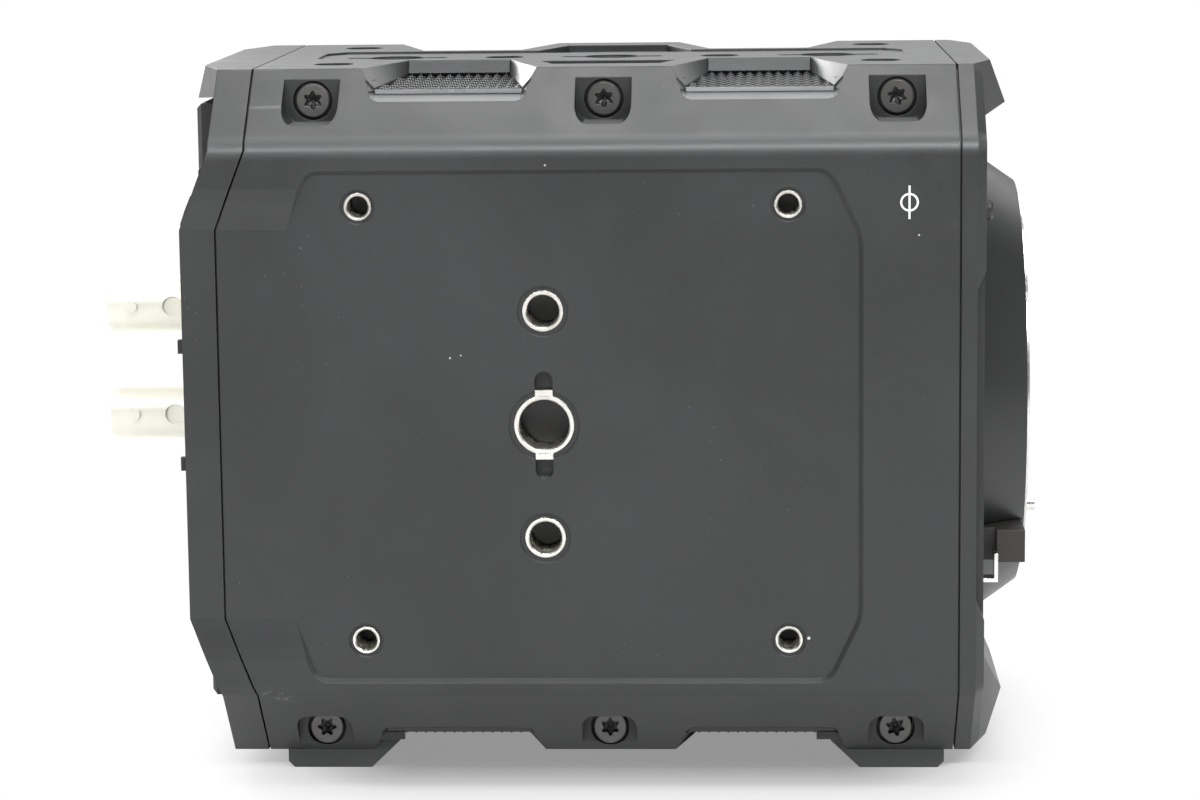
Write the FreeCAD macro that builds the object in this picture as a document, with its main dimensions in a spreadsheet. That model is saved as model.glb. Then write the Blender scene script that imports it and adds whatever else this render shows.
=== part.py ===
import FreeCAD, Part
import Sketcher
import math
import os

# Box-style cinema camera. +X is the way the lens looks, +Z is up, and -Y is the
# camera's right side, which carries the side mounting face. The origin is under the
# middle of the overall length and width, at the soles of the feet. Millimetres.

SIZES = [
    # Body, seen from the side and from the front
    ("body_width", 95.0, "side face to side face"),
    ("body_height", 110.6, "bottom plate to top plate"),
    ("foot_height", 3.0, "soles of the feet to the bottom plate"),
    ("lens_height", 55.3, "bottom plate to the lens axis and the side hole column"),
    ("chamfer_in", 12.8, "corner chamfer, across the width"),
    ("top_drop", 11.0, "upper corner chamfer, height"),
    ("bottom_drop", 12.6, "lower corner chamfer, height"),
    ("front_seam_x", 64.8, "where the front cover starts"),
    ("front_depth", 4.2, "front cover, seam to front face"),
    ("front_bevel", 1.4, "bevel round the front cover"),
    ("rear_seam_x", 46.0, "rear seam at the top and bottom, behind the origin"),
    ("rear_bulge", 4.9, "how far the rear seam steps back at mid height"),
    ("rear_depth", 5.8, "rear cover, seam to rear face"),
    ("bulge_half", 31.0, "half height of the straight rear stretch"),
    ("bulge_end", 43.5, "half height where the rear slope ends"),
    ("side_wall", 3.0, "side cover wall"),
    ("plate_wall", 8.0, "top and bottom plate thickness"),
    ("lap_in", 2.0, "lap joint between plates and side covers, width"),
    ("lap_down", 2.0, "lap joint, depth"),
    ("edge_round", 3.0, "rounding between sides and corner chamfers"),
    ("seam_gap", 0.3, "shadow gap along the front and rear seams"),
    ("seam_deep", 1.0, "shadow gap, depth"),
    # Prow and chin of the front cover
    ("prow_top_x", 70.8, "front edge of the top of the prow"),
    ("prow_tip_x", 74.0, "tip of the prow and of the chin"),
    ("prow_tip_down", 7.5, "top face to the tip of the prow"),
    ("chin_tip_up", 5.3, "bottom face to the tip of the chin"),
    ("prow_under", 9.0, "top face to the root under the prow"),
    ("chin_root", 16.2, "bottom face to the root of the chin"),
    ("prow_half", 24.3, "half width of the straight front of the prow"),
    ("visor_half", 22.5, "half width of the straight rear of the visor"),
    ("visor_top_x", 55.5, "rear edge of the top of the visor, behind the origin"),
    ("visor_tip_x", 58.2, "lower tip of the visor, behind the origin"),
    ("visor_tall", 5.9, "height of the visor"),
    # Lens mount and sensor
    ("flange_x", 77.0, "lens flange plane"),
    ("flange_distance", 20.0, "lens flange to film plane"),
    ("flange_thick", 2.0, "bayonet flange"),
    ("flange_radius", 32.0, "bayonet flange, outside"),
    ("throat_radius", 25.8, "bayonet opening between the claws"),
    ("claw_gap_radius", 27.8, "bayonet opening at the lens lugs"),
    ("claw_gap_angle", 58.0, "each of the three openings for the lens lugs"),
    ("turret_foot_radius", 39.0, "turret cone at the front face"),
    ("turret_rim_radius", 33.7, "turret cone at the rim"),
    ("turret_rim_x", 76.5, "turret rim"),
    ("turret_spigot_radius", 35.0, "turret spigot in the front cover"),
    ("lug_groove_radius", 28.6, "room behind the flange for the lens lugs"),
    ("lug_groove_x", 72.3, "back of the lug room"),
    ("contact_radius", 23.4, "lens contact block, inner radius"),
    ("contact_long", 4.4, "lens contact block, along the axis"),
    ("contact_count", 10, "lens contacts"),
    ("contact_out", 0.8, "lens contacts, proud of their block"),
    ("mount_bore_radius", 26.6, "turret bore behind the lug room"),
    ("flange_screw_radius", 1.5, "flange screw heads"),
    ("flange_screw_circle", 29.9, "flange screws, from the axis"),
    ("lock_pin_radius", 1.1, "lens lock pin"),
    ("lock_pin_out", 1.4, "lens lock pin, proud of the flange"),
    ("sensor_across", 44.0, "image sensor package width"),
    ("sensor_tall", 32.0, "image sensor package height"),
    ("sensor_thick", 2.8, "image sensor package"),
    ("sensor_border", 6.0, "sensor frame round the package"),
    ("glass_rim", 1.5, "sensor glass, beyond its window on each side"),
    ("board_rim_across", 1.0, "sensor board, beyond the frame across"),
    ("board_rim_tall", 5.0, "sensor board, beyond the frame above and below"),
    ("main_board_half", 36.0, "main board, half height"),
    ("main_board_rear", 1.0, "main board, in front of the rear end of the chassis"),
    ("main_board_front", 11.0, "main board, behind the bulkhead"),
    ("chip_tall", 1.8, "chips on the main board"),
    ("light_gap", 3.0, "chassis window, beyond the sensor window on each side"),
    ("release_gap", 1.6, "chassis hole round the lens release button"),
    ("record_gap", 1.4, "chassis hole round the front record button"),
    ("relief_rear", 16.7, "opening in the chassis wall, in front of its rear end"),
    ("relief_front", 21.0, "opening in the chassis wall, behind the bulkhead"),
    ("relief_half", 22.0, "opening in the chassis wall, half height"),
    ("sink_base", 4.0, "heat sink base"),
    ("sink_ledge", 1.0, "heat sink base and fan housing, ledge on the right side"),
    ("spoke_thick", 1.5, "fan spokes"),
    ("spoke_half", 2.0, "fan spokes, half width"),
    ("hub_end", 8.0, "fan hub tube, from the rear of the housing"),
    ("hub_wall", 1.6, "fan hub tube wall"),
    ("rotor_gap", 1.0, "rotor, gap at both ends of the housing"),
    ("board_thick", 1.6, "circuit boards"),
    ("glass_gap", 1.2, "sensor to its cover glass"),
    ("glass_thick", 1.2, "sensor cover glass"),
    ("window_across", 37.0, "aperture in front of the sensor, width"),
    ("window_tall", 25.0, "aperture in front of the sensor, height"),
    ("bulkhead_thick", 4.0, "chassis bulkhead behind the front cover"),
    ("chassis_wall_in", 14.5, "side face to the outer face of the chassis wall"),
    ("chassis_wall", 3.0, "chassis wall thickness"),
    ("chassis_rear_x", 28.7, "chassis wall, rear end, behind the origin"),
    # Side mounting face
    ("column_x", 0.0, "side hole column, over the origin"),
    ("hole_pitch", 18.0, "tripod hole pitch"),
    ("pattern_x", 4.8, "centre of the four small side inserts"),
    ("pattern_across", 67.0, "small side inserts, along the body"),
    ("pattern_tall", 69.0, "small side inserts, up the body"),
    ("recess_deep", 0.8, "side recess"),
    ("recess_top", 39.65, "side recess, lens axis to top edge"),
    ("recess_bottom", 40.7, "side recess, lens axis to bottom edge"),
    ("recess_front_x", 49.35, "side recess, front edge"),
    ("recess_rear_x", 39.9, "side recess, rear corner, behind the origin"),
    ("recess_corner_tall", 10.0, "side recess, slanted front corners, height"),
    ("recess_corner_in", 4.8, "side recess, slanted front corners, length"),
    ("recess_lean", 3.4, "side recess, length of its slanted rear ends"),
    ("recess_round", 2.0, "side recess, length of its rounded corners along each side"),
    ("recess_bevel", 0.6, "bevel round the side recess"),
    ("ramp_long", 6.5, "side recess, slope up to the side at its rear end"),
    ("small_bore", 1.65, "M4 insert, bore radius"),
    ("small_shell", 2.25, "M4 insert, outer radius"),
    ("quarter_bore", 2.55, "1/4-20 insert, bore radius"),
    ("quarter_shell", 3.3, "1/4-20 insert, outer radius"),
    ("large_bore", 3.97, "3/8-16 insert, bore radius"),
    ("large_shell", 4.8, "3/8-16 insert, outer radius"),
    ("insert_long", 7.6, "thread inserts, length"),
    ("insert_sink", 0.3, "thread inserts, below the face"),
    ("twist_slot_wide", 2.8, "anti-twist slots, width"),
    ("twist_slot_reach", 8.5, "anti-twist slots, end to hole centre"),
    ("twist_slot_deep", 2.0, "anti-twist slots, depth"),
    ("ear_reach", 5.5, "ears of the large inserts, from the hole centre"),
    ("ear_thick", 1.0, "ears of the large inserts, thickness"),
    ("small_sink", 2.7, "countersink round the M4 inserts, radius"),
    ("quarter_sink", 4.0, "countersink round the 1/4-20 inserts, radius"),
    ("large_sink", 5.6, "countersink round the 3/8-16 inserts, radius"),
    ("sink_deep", 0.5, "countersinks, depth"),
    ("blind_gap", 1.0, "room between an insert and the bottom of its hole"),
    ("blind_wall", 1.0, "wall below the bottom of an insert hole"),
    ("boss_rim", 2.0, "bosses round the insert holes, wall"),
    # Cover screws
    ("screw_x", 9.5, "middle cover screw, and middle of the top plate"),
    ("screw_pitch", 46.0, "cover screws, along the body"),
    ("screw_edge", 4.9, "upper cover screws, below the top face"),
    ("screw_edge_low", 4.2, "lower cover screws, above the bottom face"),
    ("screw_radius", 2.8, "cover screw heads"),
    ("screw_tall", 1.5, "cover screw head thickness"),
    ("screw_shank", 1.5, "cover screw shank radius"),
    ("screw_long", 8.5, "cover screw length under the head"),
    ("star_radius", 1.55, "star recess"),
    ("star_deep", 1.0, "star recess, depth"),
    ("screw_gap", 0.3, "ring gap round a screw head"),
    ("pocket_out", 1.8, "screw pocket floor, outside the plate edge"),
    ("pocket_half", 4.4, "screw pocket, half width"),
    ("pocket_round", 1.95, "screw pocket, width of its rounded corners"),
    ("pocket_straight", 0.7, "screw pocket, screw to where the corners start"),
    ("pocket_wall", 1.0, "wall behind the screw pockets"),
    ("pocket_up", 3.4, "screw pocket, screw to its straight edge"),
    ("pocket_down", 3.4, "upper screw pocket, screw to its rounded end"),
    ("pocket_down_low", 3.1, "lower screw pocket, screw to its rounded end"),
    # Vents
    ("vent_pitch", 24.5, "vent centres, from the middle of the top plate"),
    ("vent_mouth", 13.85, "vent, half length at the outer edge"),
    ("vent_back", 8.4, "vent, half length at the inner end"),
    ("vent_back_y", 14.0, "vent, inner end from the middle plane"),
    ("vent_slant", 0.3, "vent side walls, lean at the inner end"),
    ("vent_slant_out", 2.7, "vent side walls, lean at the outer end"),
    ("vent_sink", 2.1, "top vents, inner end of the grille below the top face"),
    ("vent_drop", 0.9, "top vents, fall of the grille towards the outside"),
    ("vent_sink_low", 1.7, "bottom vents, inner end of the grille above the bottom face"),
    ("vent_drop_low", 1.5, "bottom vents, rise of the grille towards the outside"),
    ("vent_lip_y", 36.7, "outer end of the grilles from the middle plane"),
    ("vent_step", 0.85, "grille ridges, above the start of the vent lip"),
    ("vent_lip_fall", 3.4, "fall of the vent lip out to the side face"),
    ("vent_round", 0.35, "rounded lower corners of the vent lip, at its start"),
    ("vent_round_in", 6.8, "the same at the side face, across"),
    ("vent_round_up", 5.0, "the same at the side face, height"),
    ("grille_lip", 1.0, "ledge round each grille"),
    ("grille_pitch", 1.55, "grille ridges"),
    ("grille_wave", 0.7, "grille ridge height"),
    ("grille_sheet", 0.45, "grille sheet"),
    ("grille_rail", 0.5, "flat rail along the outer end of a grille"),
    ("rail_drop", 0.2, "top of the rail, below the ridges"),
    # Top plate
    ("top_hole_x", 44.0, "corner inserts of the top plate, half length"),
    ("top_hole_y", 23.0, "corner inserts of the top plate, half width"),
    ("channel_lean", 3.0, "slanted ends of the shallow channel"),
    ("boss_root", 0.5, "overlap of the bosses with the plate"),
    ("channel_half", 48.7, "shallow channel on the plates, half length"),
    ("channel_y", 11.5, "shallow channel, half width"),
    ("channel_deep", 0.4, "shallow channel, depth"),
    ("pad_deep", 1.2, "shallow pad between the vents, depth"),
    ("pad_inner", 13.0, "shallow pad, half length at the inner edge"),
    ("pad_outer", 8.6, "shallow pad, half length at the outer edge"),
    ("pad_near", 26.5, "shallow pad, outer edge from the middle plane"),
    # Feet
    ("foot_rear_x", 43.1, "rear feet, rear end, behind the origin"),
    ("foot_front_x", 63.4, "front feet, front end"),
    ("foot_sole", 13.6, "feet, end to the foot of the ramp"),
    ("foot_long", 18.3, "feet, end to the tip of the ramp"),
    ("foot_tip", 2.0, "feet, how far the ramp reaches up beside the vents"),
    ("foot_blunt", 0.5, "feet, thickness of the ramp's tip"),
    ("foot_root", 12.6, "feet, end to the root of the ramp"),
    ("foot_wide", 13.0, "feet, width"),
    ("foot_round", 1.0, "feet, lower corners"),
    # Front controls
    ("button_play", 0.15, "gap round buttons and keys"),
    ("release_y", 33.5, "lens release, from the middle plane"),
    ("release_z", 21.1, "lens release, below the lens axis"),
    ("release_wide", 10.0, "lens release, across"),
    ("release_tall", 5.2, "lens release, height"),
    ("release_neck", 2.4, "lens release, length of its neck in front of the front face"),
    ("scoop_deep", 4.0, "scoop in the side of the front cover"),
    ("scoop_up", 21.1, "scoop, above the lens axis at its inner end"),
    ("scoop_up_front", 25.9, "scoop, above the lens axis at the front"),
    ("scoop_down", 28.0, "scoop, below the lens axis at its inner end"),
    ("scoop_down_front", 34.0, "scoop, below the lens axis at the front"),
    ("release_waist", 2.0, "lens release, depth of its neck on the outer side"),
    ("release_x", 75.9, "lens release, front face"),
    ("record_y", 38.5, "front record button, from the middle plane"),
    ("record_down", 11.6, "front record button, below the upper corner"),
    ("record_radius", 1.7, "front record button"),
    ("record_out", 1.4, "front record button, proud of the face"),
    ("clip_sheet", 0.6, "sheet metal lug"),
    ("clip_down", 26.2, "sheet metal lug, lens axis to its foot"),
    ("clip_tall", 4.6, "sheet metal lug, height"),
    ("clip_wide", 3.2, "sheet metal lug, across"),
    ("clip_gap", 0.4, "sheet metal lug to the lens release"),
    # Rear panel, battery bay and sockets
    ("panel_x", 57.2, "rear panel face, behind the origin"),
    ("panel_seat_x", 51.9, "rear panel seat, behind the origin"),
    ("panel_half_y", 43.0, "rear panel, half width"),
    ("panel_half_z", 36.0, "rear panel, half height at the sides"),
    ("panel_neck_z", 39.0, "rear panel, half height at the foot of its tongues"),
    ("panel_top_z", 49.1, "rear panel, half height in the middle"),
    ("key_bump", 1.0, "alignment bumps beside the video jacks, proud of the panel"),
    ("bay_y", 18.8, "battery bay centre, right of the middle plane"),
    ("bay_wide", 38.6, "battery bay, clear width"),
    ("bay_tall", 66.0, "battery bay, clear height"),
    ("bay_deep", 21.0, "battery bay, clear depth"),
    ("bay_wall", 1.5, "battery bay wall"),
    ("latch_wide", 11.7, "battery latch"),
    ("latch_hook", 1.2, "battery latch, into the bay"),
    ("latch_travel", 1.6, "battery latch travel"),
    ("jack_y", 13.0, "video jacks, left of the middle plane"),
    ("jack_pitch", 18.8, "video jacks, height apart"),
    ("jack_mid_z", 2.6, "video jacks, middle above the lens axis"),
    ("jack_end_x", 78.4, "video jacks, rear end, behind the origin"),
    ("jack_radius", 4.8, "video jack shell"),
    ("jack_bore", 4.05, "video jack bore"),
    ("jack_deep", 9.0, "video jack bore, depth"),
    ("jack_collar", 6.4, "video jack collar"),
    ("socket_back_x", 46.9, "inner end of the sockets, behind the origin"),
    ("round_radius", 6.4, "round power and audio sockets, outside"),
    ("round_bore", 4.6, "round sockets, bore"),
    ("round_deep", 9.0, "round sockets, depth"),
    ("mini_radius", 3.9, "small audio sockets, outside"),
    ("mini_bore", 1.8, "small audio sockets, bore"),
    ("rear_web_out", 0.5, "web inside the rear cover, past its outer edge"),
    ("rear_web_thick", 3.2, "web inside the rear cover, in from its outer edge"),
    ("rear_web_tall", 6.0, "web inside the rear cover, height of its slanted corners"),
    ("rear_web_wide", 4.0, "web inside the rear cover, width of its slanted corners"),
    ("visor_root", 1.0, "overlap of the visor with the rear cover"),
    ("visor_rise", 1.5, "rise of the visor's underside towards the cover"),
    ("rear_hole_deep", 5.0, "holes through the rear cover, past its front edge"),
    ("socket_room_gap", 3.0, "room for the sockets, beside the battery bay"),
    ("socket_room_side", 40.0, "room for the sockets, left end"),
    ("socket_room_low", 32.0, "room for the sockets, below the lens axis"),
    ("socket_room_high", 34.0, "room for the sockets, above the lens axis"),
    ("panel_bevel", 0.8, "edge of the rear panel"),
    ("bump_in", 1.0, "small bumps on the rear panel, in from its right edge"),
    ("bump_wide", 1.2, "small bumps on the rear panel, width"),
    ("bump_half", 1.1, "small bumps on the rear panel, half height"),
    ("bump_root", 0.5, "overlap of the bumps with the panel"),
    ("panel_slope_gap", 0.6, "start of the slanted panel corners, past the bulge"),
    ("latch_room", 0.5, "room beside and under the battery latch"),
    ("latch_cap", 0.8, "battery latch, above the bay wall"),
    ("latch_gap", 0.4, "room above the raised battery latch"),
    ("latch_long", 9.0, "battery latch, front to rear"),
    ("bay_rail", 1.6, "battery rails, width"),
    ("bay_rail_near", 20.0, "battery rails, inner edge from the lens axis"),
    ("bay_rail_far", 22.0, "battery rails, outer edge from the lens axis"),
    ("bay_rail_start", 6.0, "battery rails, in from the rear"),
    ("blade_pitch", 4.0, "battery contacts, pitch"),
    ("blade_long", 5.0, "battery contacts, length"),
    ("blade_half", 0.5, "battery contacts, half thickness"),
    ("blade_low", 30.0, "battery contacts, lower end below the lens axis"),
    ("blade_high", 24.0, "battery contacts, upper end below the lens axis"),
    ("collar_out", 0.6, "video jack collar, out of the panel"),
    ("stud_in", 4.2, "video jack studs, in from the end"),
    ("stud_out", 0.7, "video jack studs, out of the shell"),
    ("stud_radius", 1.0, "video jack studs"),
    ("dimple_in", 11.2, "video jack dimple, in from the end"),
    ("dimple_radius", 1.7, "video jack dimple"),
    ("dimple_deep", 0.7, "video jack dimple, depth"),
    ("liner_in", 0.8, "video jack liner, in from the end"),
    ("liner_radius", 2.4, "video jack liner"),
    ("liner_bore", 0.9, "video jack liner, bore"),
    ("liner_floor", 2.0, "video jack liner, floor"),
    ("jack_pin_in", 1.6, "video jack pin, in from the end"),
    ("jack_pin_radius", 0.55, "video jack pin"),
    ("socket_out", 0.4, "sockets, out of the rear panel"),
    ("socket_pin_long", 4.4, "pins of the round sockets, length"),
    ("socket_pin_radius", 0.6, "pins of the round sockets"),
    ("network_deep", 9.6, "network socket, depth"),
    ("usb_deep", 6.5, "data socket, depth"),
    ("mini_deep", 9.4, "headphone sockets, depth"),
    ("network_wide", 15.6, "network socket, outside width"),
    ("network_tall", 13.4, "network socket, outside height"),
    ("usb_wide", 11.2, "data socket, outside width"),
    ("usb_tall", 5.0, "data socket, outside height"),
    # Left side
    ("display_x", 14.3, "display centre"),
    ("display_z", 8.7, "display centre, above the lens axis"),
    ("display_long", 90.0, "display frame length"),
    ("display_tall", 60.0, "display frame height"),
    ("display_rim", 2.0, "display frame rim"),
    ("display_sink", 2.2, "display frame, depth of its seat"),
    ("key_z", 31.3, "key row, below the lens axis"),
    ("key_first_x", 26.7, "first key, behind the origin"),
    ("key_pitch", 14.0, "key pitch"),
    ("key_long", 9.0, "keys, length"),
    ("key_tall", 5.0, "keys, height"),
    ("key_out", 0.8, "keys, proud of the side"),
    ("control_below", 3.0, "control recess, below the side record button"),
    ("control_above", 2.0, "control recess, above the side record button and the switch"),
    ("control_rear", 6.0, "control recess, behind the middle of the switch"),
    ("control_front", 12.0, "control recess, in front of the middle of the side record button"),
    ("control_lean", 4.0, "slanted corners of the control recess"),
    ("control_recess", 0.8, "recess round the keys and the switch"),
    ("side_record_x", 48.3, "side record button"),
    ("side_record_radius", 6.0, "side record button"),
    ("door_x", 40.9, "media door centre, behind the origin"),
    ("door_z", 11.7, "media door centre, above the lens axis"),
    ("door_wide", 13.4, "media door width"),
    ("door_tall", 44.0, "media door height"),
    ("door_thick", 1.6, "media door thickness"),
    ("door_play", 0.25, "gap round the media door"),
    ("door_hinge_in", 1.0, "door hinge, in from the door's edge and from the side face"),
    ("door_lip_hinge", 2.6, "ledge behind the door at its hinge"),
    ("door_lip_free", 1.2, "ledge behind the door at its free edge"),
    ("door_lip_end", 1.5, "ledge behind the door above and below"),
    ("pin_radius", 0.6, "media door pin"),
    ("pin_play", 0.05, "running gap round pins and shafts"),
    ("pin_end", 1.2, "media door pin, into the cover at each end"),
    ("card_thick", 3.9, "card slot"),
    ("card_wide", 38.6, "card slot, length"),
    ("power_x", 40.9, "power switch, behind the origin"),
    ("power_z", 24.8, "power switch, below the lens axis"),
    ("power_slot_long", 11.0, "power switch slot"),
    ("power_slot_wide", 4.2, "power switch slot, width"),
    # Cooling
    ("sink_x", 32.3, "heat sink, rear end of the fins"),
    ("sink_half", 29.0, "heat sink, half width"),
    ("fin_count", 11, "heat sink fins"),
    ("fin_thick", 1.4, "heat sink fins"),
    ("fan_depth", 13.0, "fan, depth"),
    ("fan_half", 29.0, "fan housing, half width"),
    ("fan_bore", 26.5, "fan housing bore"),
    ("fan_blade_radius", 25.6, "fan blades, outer radius"),
    ("fan_hub", 10.0, "fan hub"),
    ("fan_shaft", 1.5, "fan shaft"),
    ("blade_count", 7, "fan blades"),
]

doc = FreeCAD.newDocument("cinema_camera")
sheet = doc.addObject("Spreadsheet::Sheet", "Size")


class Dim:
    """A length that carries its number and the sheet expression behind it."""

    def __init__(self, number, text):
        self.number = float(number)
        self.text = text

    def __add__(self, other):
        other = dim(other)
        return Dim(self.number + other.number, f"({self.text} + {other.text})")

    def __sub__(self, other):
        other = dim(other)
        return Dim(self.number - other.number, f"({self.text} - {other.text})")

    def __mul__(self, other):
        other = dim(other)
        return Dim(self.number * other.number, f"({self.text} * {other.text})")

    def __truediv__(self, other):
        other = dim(other)
        return Dim(self.number / other.number, f"({self.text} / {other.text})")

    def __neg__(self):
        return Dim(-self.number, f"(0 - {self.text})")

    def __radd__(self, other):
        return dim(other) + self

    def __rsub__(self, other):
        return dim(other) - self

    def __rmul__(self, other):
        return dim(other) * self


def dim(value):
    if isinstance(value, Dim):
        return value
    return Dim(value, f"({float(value)!r})")


def distance(run, rise):
    """The straight length across two legs at a right angle."""
    return Dim(math.hypot(run.number, rise.number), f"hypot({run.text}; {rise.text})")


class Sizes:
    """The sheet's cells as named lengths."""


s = Sizes()
for row, (name, value, meaning) in enumerate(SIZES, start=1):
    sheet.set(f"A{row}", name)
    sheet.set(f"B{row}", str(value))
    sheet.setAlias(f"B{row}", name)
    sheet.set(f"C{row}", meaning)
    setattr(s, name, Dim(value, f"Size.{name}"))
doc.recompute()

# Places that several pieces share
half = s.body_width / 2
floor_z = s.foot_height
top_z = s.foot_height + s.body_height
lens_z = s.foot_height + s.lens_height
shoulder_z = top_z - s.top_drop
hip_z = floor_z + s.bottom_drop
crown_y = half - s.chamfer_in
front_x = s.front_seam_x + s.front_depth
film_x = s.flange_x - s.flange_distance
wall_y = half - s.side_wall
top_under = top_z - s.plate_wall
bottom_over = floor_z + s.plate_wall
lap_y = crown_y - s.lap_in
bulkhead_x = s.front_seam_x - s.bulkhead_thick
knee_y = half - s.side_wall - 7
screw_high = top_z - s.screw_edge
screw_low = floor_z + s.screw_edge_low
pocket_floor = crown_y + s.pocket_out
chassis_wall_y = half - s.chassis_wall_in
record_z = shoulder_z - s.record_down
beyond = 1.0

nodes = []


# Building blocks

def bind(thing, prop, value):
    thing.setExpression(prop, dim(value).text)


def body(label, z=None):
    made = doc.addObject("PartDesign::Body", label)
    made.Label = label
    if z is not None:
        bind(made, "Placement.Base.z", z)
    nodes.append(made)
    return made


def origin_part(owner, role):
    return [part for part in owner.Origin.OriginFeatures if part.Role == role][0]


def sketch_on(owner, plane, level):
    sketch = owner.newObject("Sketcher::SketchObject", "Outline")
    sketch.AttachmentSupport = [(origin_part(owner, plane + "_Plane"), "")]
    sketch.MapMode = "FlatFace"
    bind(sketch, "AttachmentOffset.Base.z", -dim(level) if plane == "XZ" else level)
    return sketch


def hold(sketch, made, pairs):
    first = sketch.ConstraintCount
    sketch.addConstraint(made)
    for offset, value in pairs:
        sketch.setExpression(f"Constraints[{first + offset}]", dim(value).text)


def poly(*points):
    points = [(dim(a), dim(b)) for a, b in points]

    def draw(sketch):
        start = sketch.GeometryCount
        spots = [FreeCAD.Vector(a.number, b.number, 0) for a, b in points]
        count = len(spots)
        lines = [Part.LineSegment(spots[i], spots[(i + 1) % count]) for i in range(count)]
        sketch.addGeometry(lines)
        made = []
        pairs = []
        for i, (a, b) in enumerate(points):
            after = start + (i + 1) % count
            made.append(Sketcher.Constraint("Coincident", start + i, 2, after, 1))
            pairs.append((len(made), a))
            made.append(Sketcher.Constraint("DistanceX", -1, 1, start + i, 1, a.number))
            pairs.append((len(made), b))
            made.append(Sketcher.Constraint("DistanceY", -1, 1, start + i, 1, b.number))
        hold(sketch, made, pairs)

    return draw


def rect(x1, x2, y1, y2):
    return poly((x1, y1), (x2, y1), (x2, y2), (x1, y2))


def disc(x, y, radius):
    x, y, radius = dim(x), dim(y), dim(radius)

    def draw(sketch):
        number = sketch.GeometryCount
        middle = FreeCAD.Vector(x.number, y.number, 0)
        sketch.addGeometry(Part.Circle(middle, FreeCAD.Vector(0, 0, 1), radius.number))
        made = [
            Sketcher.Constraint("DistanceX", -1, 1, number, 3, x.number),
            Sketcher.Constraint("DistanceY", -1, 1, number, 3, y.number),
            Sketcher.Constraint("Radius", number, radius.number),
        ]
        hold(sketch, made, [(0, x), (1, y), (2, radius)])

    return draw


def pad(owner, plane, low, high, *loops):
    sketch = sketch_on(owner, plane, high if plane == "XZ" else low)
    for loop in loops:
        loop(sketch)
    made = owner.newObject("PartDesign::Pad", "Pad")
    made.Profile = sketch
    bind(made, "Length", dim(high) - low)
    return made


def cut(owner, plane, low, high, *loops):
    sketch = sketch_on(owner, plane, low if plane == "XZ" else high)
    for loop in loops:
        loop(sketch)
    made = owner.newObject("PartDesign::Pocket", "Pocket")
    made.Profile = sketch
    bind(made, "Length", dim(high) - low)
    return made


def turn(owner, *points):
    """Revolve a profile of (x, radius) points round the body's own X axis."""
    sketch = sketch_on(owner, "XZ", 0)
    poly(*points)(sketch)
    made = owner.newObject("PartDesign::Revolution", "Revolution")
    made.Profile = sketch
    made.ReferenceAxis = (sketch, ["H_Axis"])
    made.Angle = 360
    return made


def funnel(owner, plane, low, high, low_points, high_points):
    """Cut the straight-sided space between two outlines on two parallel planes."""
    lower = sketch_on(owner, plane, low)
    poly(*low_points)(lower)
    upper = sketch_on(owner, plane, high)
    poly(*high_points)(upper)
    made = owner.newObject("PartDesign::SubtractiveLoft", "Funnel")
    made.Profile = lower
    made.Sections = [upper]
    made.Ruled = True
    return made


def edges_where(owner, test):
    doc.recompute()
    found = []
    for number, edge in enumerate(owner.Tip.Shape.Edges, start=1):
        box = edge.BoundBox
        if test(box.XMin, box.XMax, box.YMin, box.YMax, box.ZMin, box.ZMax):
            found.append(f"Edge{number}")
    return found


def dress(owner, kind, size, test):
    """Fillet or chamfer every edge whose box passes the test."""
    found = edges_where(owner, test)
    base = owner.Tip
    made = owner.newObject("PartDesign::" + kind, kind)
    made.Base = (base, found)
    bind(made, "Radius" if kind == "Fillet" else "Size", size)
    return made


def near(a, b, slack=0.02):
    return abs(a - dim(b).number) < slack


def spread(side, inner, outer):
    """A stretch of Y on one side of the middle plane, as (low, high)."""
    if side < 0:
        return -dim(outer), -dim(inner)
    return dim(inner), dim(outer)


def block(x1, x2, y1, y2, z1, z2, label="Block"):
    made = doc.addObject("Part::Box", label)
    bind(made, "Length", dim(x2) - x1)
    bind(made, "Width", dim(y2) - y1)
    bind(made, "Height", dim(z2) - z1)
    locate(made, x1, y1, z1)
    return made


def locate(made, x, y, z):
    bind(made, "Placement.Base.x", x)
    bind(made, "Placement.Base.y", y)
    bind(made, "Placement.Base.z", z)


TURNS = {
    "X": FreeCAD.Rotation(FreeCAD.Vector(0, 1, 0), 90),
    "Y": FreeCAD.Rotation(FreeCAD.Vector(1, 0, 0), -90),
    "Z": FreeCAD.Rotation(),
}


def rod(axis, x, y, z, long, radius, label="Rod"):
    """A cylinder from (x, y, z) along an axis."""
    made = doc.addObject("Part::Cylinder", label)
    made.Placement = FreeCAD.Placement(FreeCAD.Vector(), TURNS[axis])
    bind(made, "Radius", radius)
    bind(made, "Height", long)
    locate(made, x, y, z)
    return made


def fused(*shapes):
    made = doc.addObject("Part::MultiFuse", "Fused")
    made.Shapes = list(shapes)
    return made


def less(base, *tools):
    made = doc.addObject("Part::Cut", "Less")
    made.Base = base
    made.Tool = fused(*tools) if len(tools) > 1 else tools[0]
    return made


def group(label, *shapes):
    made = doc.addObject("Part::Compound", label)
    made.Links = list(shapes)
    return named(label, made)


def named(label, made):
    made.Label = label
    nodes.append(made)
    return made


# Outlines that several pieces share

def seam_line(offset=0):
    """The rear seam from bottom to top, moved back by an offset."""
    edge = -s.rear_seam_x - offset
    back = edge - s.rear_bulge
    return [
        (edge, floor_z),
        (edge, lens_z - s.bulge_end),
        (back, lens_z - s.bulge_half),
        (back, lens_z + s.bulge_half),
        (edge, lens_z + s.bulge_end),
        (edge, top_z),
    ]


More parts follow.
